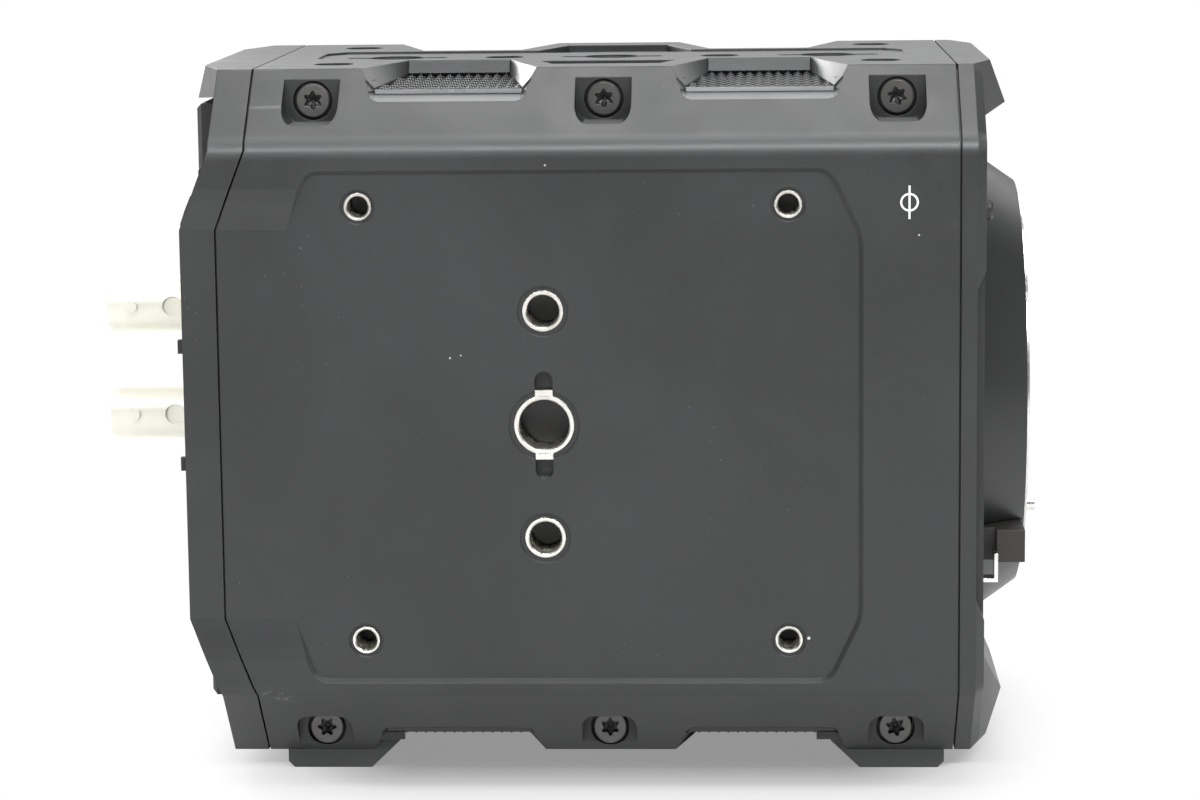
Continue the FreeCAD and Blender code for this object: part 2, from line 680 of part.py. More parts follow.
def body_section(inset=0):
    """The body seen from the front: a box with four slanted corners."""
    side = half - inset
    crown = crown_y - inset * 0.4
    low = floor_z + inset
    high = top_z - inset
    hip = hip_z + inset * 0.4
    shoulder = shoulder_z - inset * 0.4
    return poly(
        (-side, hip), (-crown, low), (crown, low), (side, hip),
        (side, shoulder), (crown, high), (-crown, high), (-side, shoulder),
    )


def vent_levels(top):
    """Face level, inward sign, and the grille's depth at its inner end and its fall."""
    if top:
        return top_z, -1, s.vent_sink, s.vent_drop
    return floor_z, 1, s.vent_sink_low, s.vent_drop_low


seat_tall = s.grille_wave + s.grille_sheet
vent_growth = (s.vent_mouth - s.vent_back) / (crown_y - s.vent_back_y)
vent_seat_in = s.vent_back - s.vent_slant
vent_seat_out = s.vent_mouth + vent_growth * (s.vent_lip_y - crown_y) - s.vent_slant_out
side_reach = half + beyond
corner_steps = 4
vent_mouth_out = s.vent_mouth + vent_growth * (s.vent_lip_y - crown_y) + beyond


def vent_section(x, level, inward, mouth, knee, knee_z, foot_z):
    """A vent seen from the side: slanted from the face to its knee, then upright to its foot."""
    mouth_z = level - inward * beyond
    return [(x - knee, foot_z), (x + knee, foot_z), (x + knee, knee_z),
            (x + mouth, mouth_z), (x - mouth, mouth_z), (x - knee, knee_z)]


def vent_cut(owner, side, x, top):
    """Slanted walls down to the sloping seat of a grille."""
    level, inward, sink, drop = vent_levels(top)
    inner_z = level + inward * sink
    outer_z = inner_z + inward * drop
    mouth_in = s.vent_back + s.vent_slant * beyond / sink
    funnel(owner, "XZ", side * s.vent_back_y, side * s.vent_lip_y,
           vent_section(x, level, inward, mouth_in, vent_seat_in, inner_z, inner_z + inward * seat_tall),
           vent_section(x, level, inward, vent_mouth_out, vent_seat_out, outer_z,
                        outer_z + inward * seat_tall))


def lip_section(x, level, inward, mouth, foot, foot_z, across, tall):
    """A vent lip seen from the side: a flat foot with rounded corners, open to the face."""
    right = []
    for step in range(corner_steps + 1):
        turn = math.pi / 2 * step / corner_steps
        right.append((foot + across * math.sin(turn), foot_z - inward * tall * (1 - math.cos(turn))))
    right.append((mouth, level - inward * beyond))
    left = [(-a, b) for a, b in reversed(right)]
    return [(x + a, b) for a, b in right + left]


def vent_lip(owner, side, x, top):
    """The sloping lip between a grille and the slanted corner of the body."""
    level, inward, sink, drop = vent_levels(top)
    near_z = level + inward * (sink + drop + s.vent_step)
    mouth_far = vent_mouth_out + vent_growth * (side_reach - s.vent_lip_y)
    foot = vent_seat_out - s.vent_round
    funnel(owner, "XZ", side * s.vent_lip_y, side * side_reach,
           lip_section(x, level, inward, vent_mouth_out, foot, near_z, s.vent_round, s.vent_round),
           lip_section(x, level, inward, mouth_far, foot - s.vent_round_in / 3,
                       near_z + inward * s.vent_lip_fall, s.vent_round_in, s.vent_round_up))


def air_hole(owner, side, x, top, low_y, high_y):
    """The hole under a grille, with a ledge left all round."""
    level, inward, sink, drop = vent_levels(top)
    deep = level + inward * (s.plate_wall + 8)
    shallow = level + inward * sink
    low, high = (deep, shallow) if top else (shallow, deep)
    taper = (vent_seat_out - vent_seat_in) / (s.vent_lip_y - s.vent_back_y)

    def room(y):
        return vent_seat_in - s.grille_lip + taper * (y - s.vent_back_y)

    cut(owner, "XY", low, high, poly(
        (x - room(low_y), side * low_y),
        (x + room(low_y), side * low_y),
        (x + room(high_y), side * high_y),
        (x - room(high_y), side * high_y),
    ))


VENTS = [s.screw_x - s.vent_pitch, s.screw_x + s.vent_pitch]
SCREWS = [s.screw_x - s.screw_pitch, s.screw_x, s.screw_x + s.screw_pitch]
vent_hole_in = s.vent_back_y + s.grille_lip
vent_hole_out = s.vent_lip_y - s.grille_lip


def round_edges(owner):
    """Round the long edges where the sides meet the corner chamfers."""
    dress(owner, "Fillet", s.edge_round, lambda x0, x1, y0, y1, z0, z1:
          (near(y0, half) or near(y1, -half)) and y1 - y0 < 0.01 and x1 - x0 > 1
          and ((near(z0, shoulder_z) and near(z1, shoulder_z)) or (near(z0, hip_z) and near(z1, hip_z))))


# Side covers

def side_cover(label, side):
    cover = body(label)
    inner, outer = spread(side, lap_y, half)
    rear = seam_line()
    pad(cover, "XZ", inner, outer, poly(
        *rear, (s.front_seam_x, top_z), (s.front_seam_x, floor_z)))
    long_low = -s.rear_seam_x - s.rear_bulge - beyond
    long_high = s.front_seam_x + beyond
    for edge, level, past in ((shoulder_z, top_z, beyond), (hip_z, floor_z, -beyond)):
        cut(cover, "YZ", long_low, long_high, poly(
            (side * half, edge),
            (side * crown_y, level),
            (side * crown_y, level + past),
            (side * (half + beyond), level + past),
            (side * (half + beyond), edge),
        ))
    round_edges(cover)
    cut(cover, "YZ", long_low, long_high, poly(
        (side * (lap_y - beyond), top_under),
        (side * knee_y, top_under),
        (side * wall_y, shoulder_z - s.side_wall),
        (side * wall_y, hip_z + s.side_wall),
        (side * knee_y, bottom_over),
        (side * (lap_y - beyond), bottom_over),
    ))
    for level, inward in ((top_z, -1), (floor_z, 1)):
        near_end = level + inward * s.lap_down
        past = level - inward * beyond
        low, high = (near_end, past) if inward < 0 else (past, near_end)
        cut(cover, "YZ", long_low, long_high, rect(
            side * (lap_y - beyond), side * crown_y, low, high))
    return cover


pocket_steps = 5


def pocket_outline(x, z, up, down):
    """A pocket with one straight edge and a rounded end."""
    flat = s.pocket_half - s.pocket_round
    right = [(s.pocket_half, up * s.pocket_up)]
    for step in range(pocket_steps + 1):
        turn = math.pi / 2 * step / pocket_steps
        fall = s.pocket_straight + (down - s.pocket_straight) * math.sin(turn)
        right.append((flat + s.pocket_round * math.cos(turn), -up * fall))
    left = [(-a, b) for a, b in reversed(right)]
    return poly(*[(x + a, z + b) for a, b in right + left])


def screw_pockets(cover, side):
    mouth_low, mouth_high = spread(side, pocket_floor, half + beyond)
    seat_low, seat_high = spread(side, pocket_floor - s.screw_tall, pocket_floor)
    hole_low, hole_high = spread(side, lap_y - beyond, pocket_floor)
    boss_low, boss_high = spread(side, pocket_floor - s.screw_tall - s.pocket_wall / 2, knee_y + 2)
    foot = screw_high - s.pocket_down - s.pocket_wall
    wide = s.pocket_half + s.pocket_wall / 2
    pad(cover, "XZ", boss_low, boss_high,
        *[rect(x - wide, x + wide, foot, top_under + s.pocket_wall / 2) for x in SCREWS])
    pockets = [pocket_outline(x, screw_high, 1, s.pocket_down) for x in SCREWS]
    pockets += [pocket_outline(x, screw_low, -1, s.pocket_down_low) for x in SCREWS]
    cut(cover, "XZ", mouth_low, mouth_high, *pockets)
    heads = [disc(x, z, s.screw_radius + s.screw_gap) for z in (screw_high, screw_low) for x in SCREWS]
    cut(cover, "XZ", seat_low, seat_high, *heads)
    shanks = [disc(x, z, s.screw_shank) for z in (screw_high, screw_low) for x in SCREWS]
    cut(cover, "XZ", hole_low, hole_high, *shanks)


def vent_all(owner, side):
    for x in VENTS:
        for top in (True, False):
            vent_cut(owner, side, x, top)
            vent_lip(owner, side, x, top)
            air_hole(owner, side, x, top, lap_y - beyond, vent_hole_out)


def side_slots(owner, x, z, low, high):
    """Anti-twist slots above and below a large insert."""
    wide = s.twist_slot_wide / 2
    reach = s.twist_slot_reach - wide
    cut(owner, "XZ", low, high, rect(x - wide, x + wide, z - reach, z + reach))
    cut(owner, "XZ", low, high, disc(x, z - reach, wide), disc(x, z + reach, wide))


right_face = -half + s.recess_deep
small_spots = [
    (s.pattern_x + a * s.pattern_across / 2, lens_z + b * s.pattern_tall / 2)
    for a in (-1, 1) for b in (-1, 1)
]
quarter_spots = [(s.column_x, lens_z - s.hole_pitch), (s.column_x, lens_z + s.hole_pitch)]
large_spot = (s.column_x, lens_z)


def rounded(before, corner, after, reach):
    """Points of a soft corner that leaves each side at the given distance from the corner."""
    ends = []
    for other in (before, after):
        run = other[0] - corner[0]
        rise = other[1] - corner[1]
        share = reach / distance(run, rise)
        ends.append((corner[0] + run * share, corner[1] + rise * share))
    first, last = ends
    points = []
    for step in range(corner_steps + 1):
        t = step / corner_steps
        points.append(tuple(first[axis] * (1 - t) ** 2 + corner[axis] * 2 * t * (1 - t) + last[axis] * t ** 2
                            for axis in (0, 1)))
    return points


def recess_ramp(owner, low_x, high_x):
    """A soft S-shaped slope from the recess floor out to the side face, above and below."""
    for up in (1, -1):
        foot = lens_z + up * s.bulge_half
        step = up * s.ramp_long
        cut(owner, "YZ", low_x, high_x, poly(
            (-half - beyond, foot - step * 0.1), (right_face, foot - step * 0.1),
            (right_face, foot), (right_face - s.recess_deep * 0.25, foot + step * 0.3),
            (right_face - s.recess_deep * 0.75, foot + step * 0.7), (-half, foot + step),
            (-half - beyond, foot + step)))


def make_right_cover():
    cover = side_cover("right_side_cover", -1)
    insert_end = right_face + s.insert_sink + s.insert_long
    boss_end = insert_end + s.blind_gap + s.blind_wall
    pad(cover, "XZ", -wall_y - 0.5, boss_end,
        *[disc(x, z, s.small_shell + s.boss_rim) for x, z in small_spots])
    wide = s.large_shell + s.boss_rim
    reach = s.hole_pitch + s.quarter_shell + s.boss_rim
    pad(cover, "XZ", -wall_y - 0.5, boss_end, rect(
        s.column_x - wide, s.column_x + wide, lens_z - reach, lens_z + reach))
    back = -s.rear_seam_x - s.rear_bulge - beyond
    top = lens_z + s.recess_top
    bottom = lens_z - s.recess_bottom
    fold_up = (-s.recess_rear_x, lens_z + s.bulge_half)
    fold_down = (-s.recess_rear_x, lens_z - s.bulge_half)
    peak_x = -s.recess_rear_x + s.recess_lean
    front_x = s.recess_front_x - s.recess_corner_in
    cut(cover, "XZ", -half - beyond, right_face, poly(
        (back, lens_z - s.bulge_half),
        fold_down,
        *rounded(fold_down, (peak_x, bottom), (front_x, bottom), s.recess_round),
        *rounded((peak_x, bottom), (front_x, bottom), (s.recess_front_x, bottom + s.recess_corner_tall),
                 s.recess_round),
        *rounded((front_x, bottom), (s.recess_front_x, bottom + s.recess_corner_tall),
                 (s.recess_front_x, lens_z), s.recess_round),
        *rounded((s.recess_front_x, lens_z), (s.recess_front_x, top - s.recess_corner_tall),
                 (front_x, top), s.recess_round),
        *rounded((s.recess_front_x, top - s.recess_corner_tall), (front_x, top), (peak_x, top),
                 s.recess_round),
        *rounded((front_x, top), (peak_x, top), fold_up, s.recess_round),
        fold_up,
        (back, lens_z + s.bulge_half),
    ))
    dress(cover, "Chamfer", s.recess_bevel, lambda x0, x1, y0, y1, z0, z1:
          near(y0, -half) and near(y1, -half) and x1 > -s.recess_rear_x.number + 1
          and x1 < s.front_seam_x.number - 1 and z0 > hip_z.number + 1 and z1 < shoulder_z.number - 1)
    recess_ramp(cover, back, peak_x)
    through = insert_end + s.blind_gap
    face = right_face - beyond
    cut(cover, "XZ", face, through, *[disc(x, z, s.small_shell) for x, z in small_spots])
    cut(cover, "XZ", face, through, *[disc(x, z, s.quarter_shell) for x, z in quarter_spots])
    cut(cover, "XZ", face, through, disc(*large_spot, s.large_shell))
    countersinks = [disc(x, z, s.small_sink) for x, z in small_spots]
    countersinks += [disc(x, z, s.quarter_sink) for x, z in quarter_spots]
    countersinks.append(disc(*large_spot, s.large_sink))
    cut(cover, "XZ", face, right_face + s.sink_deep, *countersinks)
    side_slots(cover, *large_spot, right_face - beyond, right_face + s.twist_slot_deep)
    screw_pockets(cover, -1)
    vent_all(cover, -1)
    return cover


KEYS = [-s.key_first_x + number * s.key_pitch for number in range(5)]
key_height = lens_z - s.key_z
display_mid = lens_z + s.display_z
door_mid = lens_z + s.door_z
door_hinge_x = -s.door_x - s.door_wide / 2 + s.door_hinge_in
door_hinge_y = half - s.door_hinge_in
power_mid = lens_z - s.power_z


def make_left_cover():
    cover = side_cover("left_side_cover", 1)
    play = s.button_play
    long_half = s.display_long / 2
    tall_half = s.display_tall / 2
    cut(cover, "XZ", half - s.display_sink, half + beyond, rect(
        s.display_x - long_half, s.display_x + long_half,
        display_mid - tall_half, display_mid + tall_half))
    rim = s.display_rim * 2
    cut(cover, "XZ", wall_y - beyond, half + beyond, rect(
        s.display_x - long_half + rim, s.display_x + long_half - rim,
        display_mid - tall_half + rim, display_mid + tall_half - rim))
    recess_y = half - s.control_recess
    low = key_height - s.side_record_radius - s.control_below
    high = key_height + s.side_record_radius + s.control_above
    switch_top = power_mid + s.power_slot_long / 2 + s.control_above
    switch_front = s.power_slot_wide - s.power_x
    rear = -s.power_x - s.control_rear
    front = s.side_record_x + s.control_front
    lean = s.control_lean
    cut(cover, "XZ", recess_y, half + beyond, poly(
        (rear, low + lean), (rear + lean, low), (front - lean, low),
        (front, low + lean), (front, high - lean), (front - lean, high),
        (switch_front + lean, high), (switch_front, switch_top), (rear, switch_top)))
    holes = [rect(x - s.key_long / 2 - play, x + s.key_long / 2 + play,
                  key_height - s.key_tall / 2 - play, key_height + s.key_tall / 2 + play)
             for x in KEYS]
    holes.append(disc(s.side_record_x, key_height, s.side_record_radius + play))
    holes.append(rect(-s.power_x - s.power_slot_wide / 2, -s.power_x + s.power_slot_wide / 2,
                      power_mid - s.power_slot_long / 2, power_mid + s.power_slot_long / 2))
    cut(cover, "XZ", wall_y - beyond, half + beyond, *holes)
    wide = s.door_wide / 2
    tall = s.door_tall / 2
    cut(cover, "XZ", half - s.door_thick - 2 * s.door_play, half + beyond, rect(
        -s.door_x - wide - s.door_play, -s.door_x + wide + s.door_play,
        door_mid - tall - s.door_play, door_mid + tall + s.door_play))
    cut(cover, "XZ", wall_y - beyond, half + beyond, rect(
        -s.door_x - wide + s.door_lip_hinge, -s.door_x + wide - s.door_lip_free,
        door_mid - tall + s.door_lip_end, door_mid + tall - s.door_lip_end))
    cut(cover, "XY", door_mid - tall - s.pin_end, door_mid + tall + s.pin_end,
        disc(door_hinge_x, door_hinge_y, s.pin_radius + s.pin_play))
    screw_pockets(cover, 1)
    vent_all(cover, 1)
    return cover


# Thread inserts and screws

def insert(axis, x, y, z, bore, shell):
    long = s.insert_long
    return less(rod(axis, x, y, z, long, shell), rod(axis, x, y, z, long, bore))


def star_screw(x, y, z, side):
    """A cover screw: flat head, shank, and a six-pointed recess of two prisms."""
    low = y - s.screw_tall if side > 0 else y
    head = rod("Y", x, low, z, s.screw_tall, s.screw_radius)
    shank_low = low - s.screw_long if side > 0 else low + s.screw_tall
    shank = rod("Y", x, shank_low, z, s.screw_long, s.screw_shank)
    prisms = []
    for angle in (0, 180):
        prism = doc.addObject("Part::Prism", "Star")
        prism.Polygon = 3
        around = FreeCAD.Rotation(FreeCAD.Vector(0, 1, 0), angle)
        prism.Placement = FreeCAD.Placement(FreeCAD.Vector(), around.multiply(TURNS["Y"]))
        bind(prism, "Circumradius", s.star_radius)
        bind(prism, "Height", s.star_deep + beyond)
        start = y - s.star_deep if side > 0 else y - beyond
        locate(prism, x, start, z)
        prisms.append(prism)
    return less(fused(head, shank), *prisms)


def make_fasteners():
    group("side_m4_inserts", *[
        insert("Y", x, right_face + s.insert_sink, z, s.small_bore, s.small_shell)
        for x, z in small_spots])
    group("side_quarter_inserts", *[
        insert("Y", x, right_face + s.insert_sink, z, s.quarter_bore, s.quarter_shell)
        for x, z in quarter_spots])
    x, z = large_spot
    y = right_face + s.insert_sink
    ear = s.twist_slot_wide / 2
    ears = block(x - ear, x + ear, y, y + s.ear_thick, z - s.ear_reach, z + s.ear_reach)
    named("side_three_eighths_insert", less(
        fused(rod("Y", x, y, z, s.insert_long, s.large_shell), ears),
        rod("Y", x, y, z, s.insert_long, s.large_bore)))
    group("cover_screws", *[
        star_screw(x, side * pocket_floor, z, side)
        for side in (-1, 1) for z in (screw_high, screw_low) for x in SCREWS])


# Top and bottom plates

foot_tongues = [
    (-s.foot_rear_x + s.foot_root, -s.foot_rear_x + s.foot_long),
    (s.foot_front_x - s.foot_long, s.foot_front_x - s.foot_root),
]
top_corner_spots = [
    (s.screw_x + a * s.top_hole_x, b * s.top_hole_y) for a in (-1, 1) for b in (-1, 1)]
top_quarter_spots = [(s.screw_x + a * s.hole_pitch, dim(0)) for a in (-1, 1)]
top_large_spots = [(s.screw_x + a * s.hole_pitch, dim(0)) for a in (-2, 0, 2)]
bottom_large_spots = [(s.screw_x, dim(0))]


boss_half = s.large_shell + s.boss_rim
top_boss = 2 * s.hole_pitch + boss_half
low_boss = s.hole_pitch + s.quarter_shell + s.boss_rim


def plate(label, top):
    level = top_z if top else floor_z
    inward = -1 if top else 1
    deep = level + inward * s.plate_wall
    lap = level + inward * s.lap_down
    made = body(label)
    pad(made, "YZ", -s.rear_seam_x, s.front_seam_x, poly(
        (-crown_y, level), (crown_y, level), (crown_y, lap), (lap_y, lap),
        (lap_y, deep), (-lap_y, deep), (-lap_y, lap), (-crown_y, lap)))
    shallow = level + inward * s.channel_deep
    past = level - inward * beyond
    low, high = (shallow, past) if top else (past, shallow)
    point = s.channel_y * 0.6
    rear = s.screw_x - s.channel_half
    front = s.screw_x + s.channel_half
    lean = s.channel_lean
    cut(made, "XY", low, high, poly(
        (rear, -point), (rear + lean, -s.channel_y), (front - lean, -s.channel_y), (front, -point),
        (front, point), (front - lean, s.channel_y), (rear + lean, s.channel_y), (rear, point)))
    floor = level + inward * s.pad_deep
    low, high = (floor, past) if top else (past, floor)
    for side in (-1, 1):
        cut(made, "XY", low, high, poly(
            (s.screw_x - s.pad_inner, side * s.channel_y),
            (s.screw_x + s.pad_inner, side * s.channel_y),
            (s.screw_x + s.pad_outer, side * s.pad_near),
            (s.screw_x - s.pad_outer, side * s.pad_near)))
    quarter = top_quarter_spots + (top_corner_spots if top else [])
    large = top_large_spots if top else bottom_large_spots
    bottom = level + inward * (s.channel_deep + s.insert_sink + s.insert_long + s.blind_gap)
    boss = bottom + inward * s.blind_wall
    low, high = (boss, deep + s.boss_root) if top else (deep - s.boss_root, boss)
    boss_long = top_boss if top else low_boss
    round_bosses = [disc(x, y, s.quarter_shell + s.boss_rim) for x, y in top_corner_spots] if top else []
    pad(made, "XY", low, high, *round_bosses,
        rect(s.screw_x - boss_long, s.screw_x + boss_long, -boss_half, boss_half))
    low, high = (bottom, past) if top else (past, bottom)
    cut(made, "XY", low, high,
        *[disc(x, y, s.quarter_shell) for x, y in quarter],
        *[disc(x, y, s.large_shell) for x, y in large])
    slot = level + inward * (s.channel_deep + s.twist_slot_deep)
    low, high = (slot, past) if top else (past, slot)
    wide = s.twist_slot_wide / 2
    reach = s.twist_slot_reach - wide
    for x, y in large:
        cut(made, "XY", low, high, rect(x - reach, x + reach, y - wide, y + wide))
        cut(made, "XY", low, high, disc(x - reach, y, wide), disc(x + reach, y, wide))
    for side in (-1, 1):
        hole_low, hole_high = spread(side, lap_y - s.screw_long, crown_y + beyond)
        z = screw_high if top else screw_low
        cut(made, "XZ", hole_low, hole_high, *[disc(x, z, s.screw_shank) for x in SCREWS])
        for x in VENTS:
            vent_cut(made, side, x, top)
            air_hole(made, side, x, top, vent_hole_in, lap_y + beyond)
        if not top:
            inner, outer = spread(side, crown_y - s.foot_wide, crown_y + beyond)
            for root, tip in foot_tongues:
                cut(made, "XZ", inner, outer, rect(root, tip, floor_z - beyond, floor_z + s.foot_tip))
    return made


def make_plates():
    plate("top_plate", True)
    plate("bottom_plate", False)
    face = top_z - s.insert_sink - s.insert_long
    sunk = face - s.channel_deep
    low = floor_z + s.insert_sink + s.channel_deep
    group("plate_quarter_inserts",
          *[insert("Z", x, y, face, s.quarter_bore, s.quarter_shell) for x, y in top_corner_spots],
          *[insert("Z", x, y, sunk, s.quarter_bore, s.quarter_shell) for x, y in top_quarter_spots],
          *[insert("Z", x, y, low, s.quarter_bore, s.quarter_shell) for x, y in top_quarter_spots])
    group("plate_three_eighths_inserts",
          *[insert("Z", x, y, sunk, s.large_bore, s.large_shell) for x, y in top_large_spots],
          *[insert("Z", x, y, low, s.large_bore, s.large_shell) for x, y in bottom_large_spots])


# Grilles

def grille(x, side, top):
    """A corrugated sheet cut to the vent's tapered outline, lying on its sloping seat."""
    level, inward, sink, drop = [getattr(value, "number", value) for value in vent_levels(top)]
    wave = s.grille_wave.number
    thick = s.grille_sheet.number
    pitch = s.grille_pitch.number
    inner = s.vent_back_y.number
    outer = s.vent_lip_y.number
    ridge = level + inward * sink
    base = ridge - wave if top else ridge + thick
    count = int(2 * s.vent_mouth.number / pitch)
    start = x.number - count * pitch / 2
    upper = [(start + step * pitch / 2, wave if step % 2 else 0.0) for step in range(2 * count + 1)]
    lower = [(a, b - thick) for a, b in reversed(upper)]
    spots = [FreeCAD.Vector(a, side * inner, base + b) for a, b in upper + lower]
    slope = FreeCAD.Vector(0, side * (outer - inner), inward * drop)
    sheet_shape = Part.Face(Part.makePolygon(spots + spots[:1])).extrude(slope)
    rail_low, rail_high = sorted((ridge + inward * (drop + s.rail_drop.number),
                                  ridge + inward * (drop + wave + thick / 2)))
    rail_y = min(side * outer, side * (outer - s.grille_rail.number))
    rail = Part.makeBox(count * pitch, s.grille_rail.number, rail_high - rail_low,
                        FreeCAD.Vector(start, rail_y, rail_low))
    narrow = vent_seat_in.number
    broad = vent_seat_out.number
    corners = [(-narrow, inner), (narrow, inner), (broad, outer), (-broad, outer)]
    deep = 2 * (wave + thick + drop)
    outline = [FreeCAD.Vector(x.number + a, side * b, ridge - deep) for a, b in corners]
    mask = Part.Face(Part.makePolygon(outline + outline[:1])).extrude(FreeCAD.Vector(0, 0, 2 * deep))
    return sheet_shape.fuse(rail).common(mask)


def make_grilles():
    for label, top in (("top_vent_grilles", True), ("bottom_vent_grilles", False)):
        shapes = [grille(x, side, top) for side in (-1, 1) for x in VENTS]
        made = doc.addObject("Part::Feature", label)
        made.Shape = Part.makeCompound([solid for shape in shapes for solid in shape.Solids])
        made.Placement = FreeCAD.Placement()
        named(label, made)


# Front cover, turret and lens mount

def make_front_cover():
    cover = body("front_cover")
    pad(cover, "YZ", s.front_seam_x, front_x, body_section())
    round_edges(cover)
    dress(cover, "Chamfer", s.front_bevel, lambda x0, x1, y0, y1, z0, z1:
          near(x0, front_x) and near(x1, front_x)
          and (y0 > crown_y.number - 0.1 or y1 < -crown_y.number + 0.1))
    root_x = front_x - s.front_bevel
    pad(cover, "XZ", -crown_y, crown_y, poly(
        (root_x, top_z), (s.prow_top_x, top_z), (s.prow_tip_x, top_z - s.prow_tip_down),
        (front_x, top_z - s.prow_under), (root_x, top_z - s.prow_under)))
    pad(cover, "XZ", -crown_y, crown_y, poly(
        (root_x, floor_z), (s.prow_top_x, floor_z), (s.prow_tip_x, floor_z + s.chin_tip_up),
        (front_x, floor_z + s.chin_root), (root_x, floor_z + s.chin_root)))
    slope = (crown_y - s.prow_half) / (s.prow_top_x - root_x)
    far_x = s.prow_tip_x + beyond
    far_y = s.prow_half - slope * (far_x - s.prow_top_x)
    for side in (-1, 1):
        for low, high in ((top_z - s.prow_under - beyond, top_z + beyond),
                          (floor_z - beyond, floor_z + s.chin_root + beyond)):
            cut(cover, "XY", low, high, poly(
                (front_x, side * (crown_y - slope * (front_x - root_x))),
                (far_x, side * far_y),
                (far_x, side * (crown_y + beyond)),
                (front_x, side * (crown_y + beyond))))
            cut(cover, "XY", low, high, poly(
                (root_x, side * crown_y),
                (front_x, side * (crown_y - slope * (front_x - root_x))),
                (front_x, side * crown_y)))
    cut(cover, "YZ", s.front_seam_x - beyond, s.prow_tip_x + beyond,
        disc(0, lens_z, s.turret_spigot_radius))
    cut(cover, "YZ", s.front_seam_x, s.front_seam_x + s.seam_gap,
        body_section(-beyond), body_section(s.seam_deep))
    cut(cover, "XZ", -half - beyond, -half + s.scoop_deep, poly(
        (root_x, lens_z + s.scoop_up), (front_x + beyond, lens_z + s.scoop_up_front),
        (front_x + beyond, lens_z - s.scoop_down_front), (root_x, lens_z - s.scoop_down)))
    play = s.button_play
    wide = s.release_wide / 2 + play
    tall = s.release_tall / 2 + play
    cut(cover, "YZ", s.front_seam_x - beyond, front_x + beyond, rect(
        -s.release_y - wide, -s.release_y + wide,
        lens_z - s.release_z - tall, lens_z - s.release_z + tall))
    cut(cover, "YZ", s.front_seam_x - beyond, front_x + beyond, disc(
        -s.record_y, record_z, s.record_radius + play))
    return cover


def make_mount():
    turret = body("lens_turret", lens_z)
    seat_x = s.flange_x - s.flange_thick
    turn(turret,
         (s.front_seam_x, s.mount_bore_radius), (s.front_seam_x, s.turret_spigot_radius),
         (front_x, s.turret_spigot_radius), (front_x, s.turret_foot_radius),
         (s.turret_rim_x, s.turret_rim_radius), (s.turret_rim_x, s.flange_radius),
         (seat_x, s.flange_radius), (seat_x, s.lug_groove_radius),
         (s.lug_groove_x, s.lug_groove_radius), (s.lug_groove_x, s.mount_bore_radius))
    pin_y = -s.flange_screw_circle * math.cos(math.radians(34))
    pin_z = -s.flange_screw_circle * math.sin(math.radians(34))
    bore = s.lock_pin_radius + s.pin_play
    cut(turret, "YZ", s.front_seam_x - beyond, s.flange_x, disc(pin_y, pin_z, bore))
    play = s.button_play
    wide = s.release_wide / 2 + play
    tall = s.release_tall / 2 + play
    cut(turret, "YZ", s.front_seam_x - beyond, s.flange_x, rect(
        -s.release_y - wide, -s.release_y + wide, -s.release_z - tall, -s.release_z + tall))
    ring = body("bayonet_flange", lens_z)
    turn(ring,
         (seat_x, s.throat_radius), (seat_x, s.flange_radius),
         (s.flange_x, s.flange_radius), (s.flange_x, s.throat_radius))
    gaps = []
    for number in range(3):
        gap = doc.addObject("Part::Cylinder", "Gap")
        gap.Placement = FreeCAD.Placement(
            FreeCAD.Vector(), FreeCAD.Rotation(FreeCAD.Vector(1, 0, 0), 15 + 120 * number)
            .multiply(TURNS["X"]))
        bind(gap, "Radius", s.claw_gap_radius)
        bind(gap, "Height", s.flange_thick + 2 * beyond)
        bind(gap, "Angle", s.claw_gap_angle)
        locate(gap, seat_x - beyond, 0, lens_z)
        gaps.append(gap)
    holes = [rod("X", s.flange_x - 1.0, s.flange_screw_circle * math.cos(a),
                 lens_z + s.flange_screw_circle * math.sin(a), 2, s.flange_screw_radius)
             for a in SCREW_ANGLES]
    holes.append(rod("X", seat_x - beyond, pin_y, lens_z + pin_z, s.flange_thick + 2 * beyond, bore))
    nodes.remove(ring)
    ring.Label = "flange_blank"
    named("bayonet_flange", less(ring, *gaps, *holes))
    group("flange_screws", *[
        rod("X", s.flange_x - 1.0, s.flange_screw_circle * math.cos(a),
            lens_z + s.flange_screw_circle * math.sin(a), 0.9, s.flange_screw_radius)
        for a in SCREW_ANGLES])
    named("lens_lock_pin", rod(
        "X", s.front_seam_x + 2.5, pin_y, lens_z + pin_z,
        s.flange_x + s.lock_pin_out - s.front_seam_x - 2.5, s.lock_pin_radius))
    arc = body("contact_block", lens_z)
    block_x = s.lug_groove_x - s.contact_long
    turn(arc, (block_x, s.contact_radius), (block_x, s.mount_bore_radius),
         (s.lug_groove_x, s.mount_bore_radius), (s.lug_groove_x, s.contact_radius))
    arc.Tip.Angle = 66
    arc.Placement = FreeCAD.Placement(
        FreeCAD.Vector(0, 0, 0), FreeCAD.Rotation(FreeCAD.Vector(1, 0, 0), 147))
    bind(arc, "Placement.Base.z", lens_z)
    pins = []
    count = int(s.contact_count.number)
    circle = (s.contact_radius + s.mount_bore_radius) / 2
    for number in range(count):
        angle = math.radians(-90 + (number - (count - 1) / 2) * 60 / count)
        pins.append(rod("X", s.lug_groove_x, circle * math.cos(angle),
                        lens_z + circle * math.sin(angle), s.contact_out, 0.6))
    group("lens_contacts", *pins)


SCREW_ANGLES = [math.radians(angle) for angle in (45, 135, 250, 315)]


def centred(across, tall, middle=None):
    """A rectangle across the lens axis, from its half width and half height."""
    middle = lens_z if middle is None else middle
    return rect(-dim(across), across, middle - tall, middle + tall)


package_across = s.sensor_across / 2
package_tall = s.sensor_tall / 2
window_across = s.window_across / 2
window_tall = s.window_tall / 2
sensor_rear = film_x - s.sensor_thick
board_rear = sensor_rear - s.board_thick


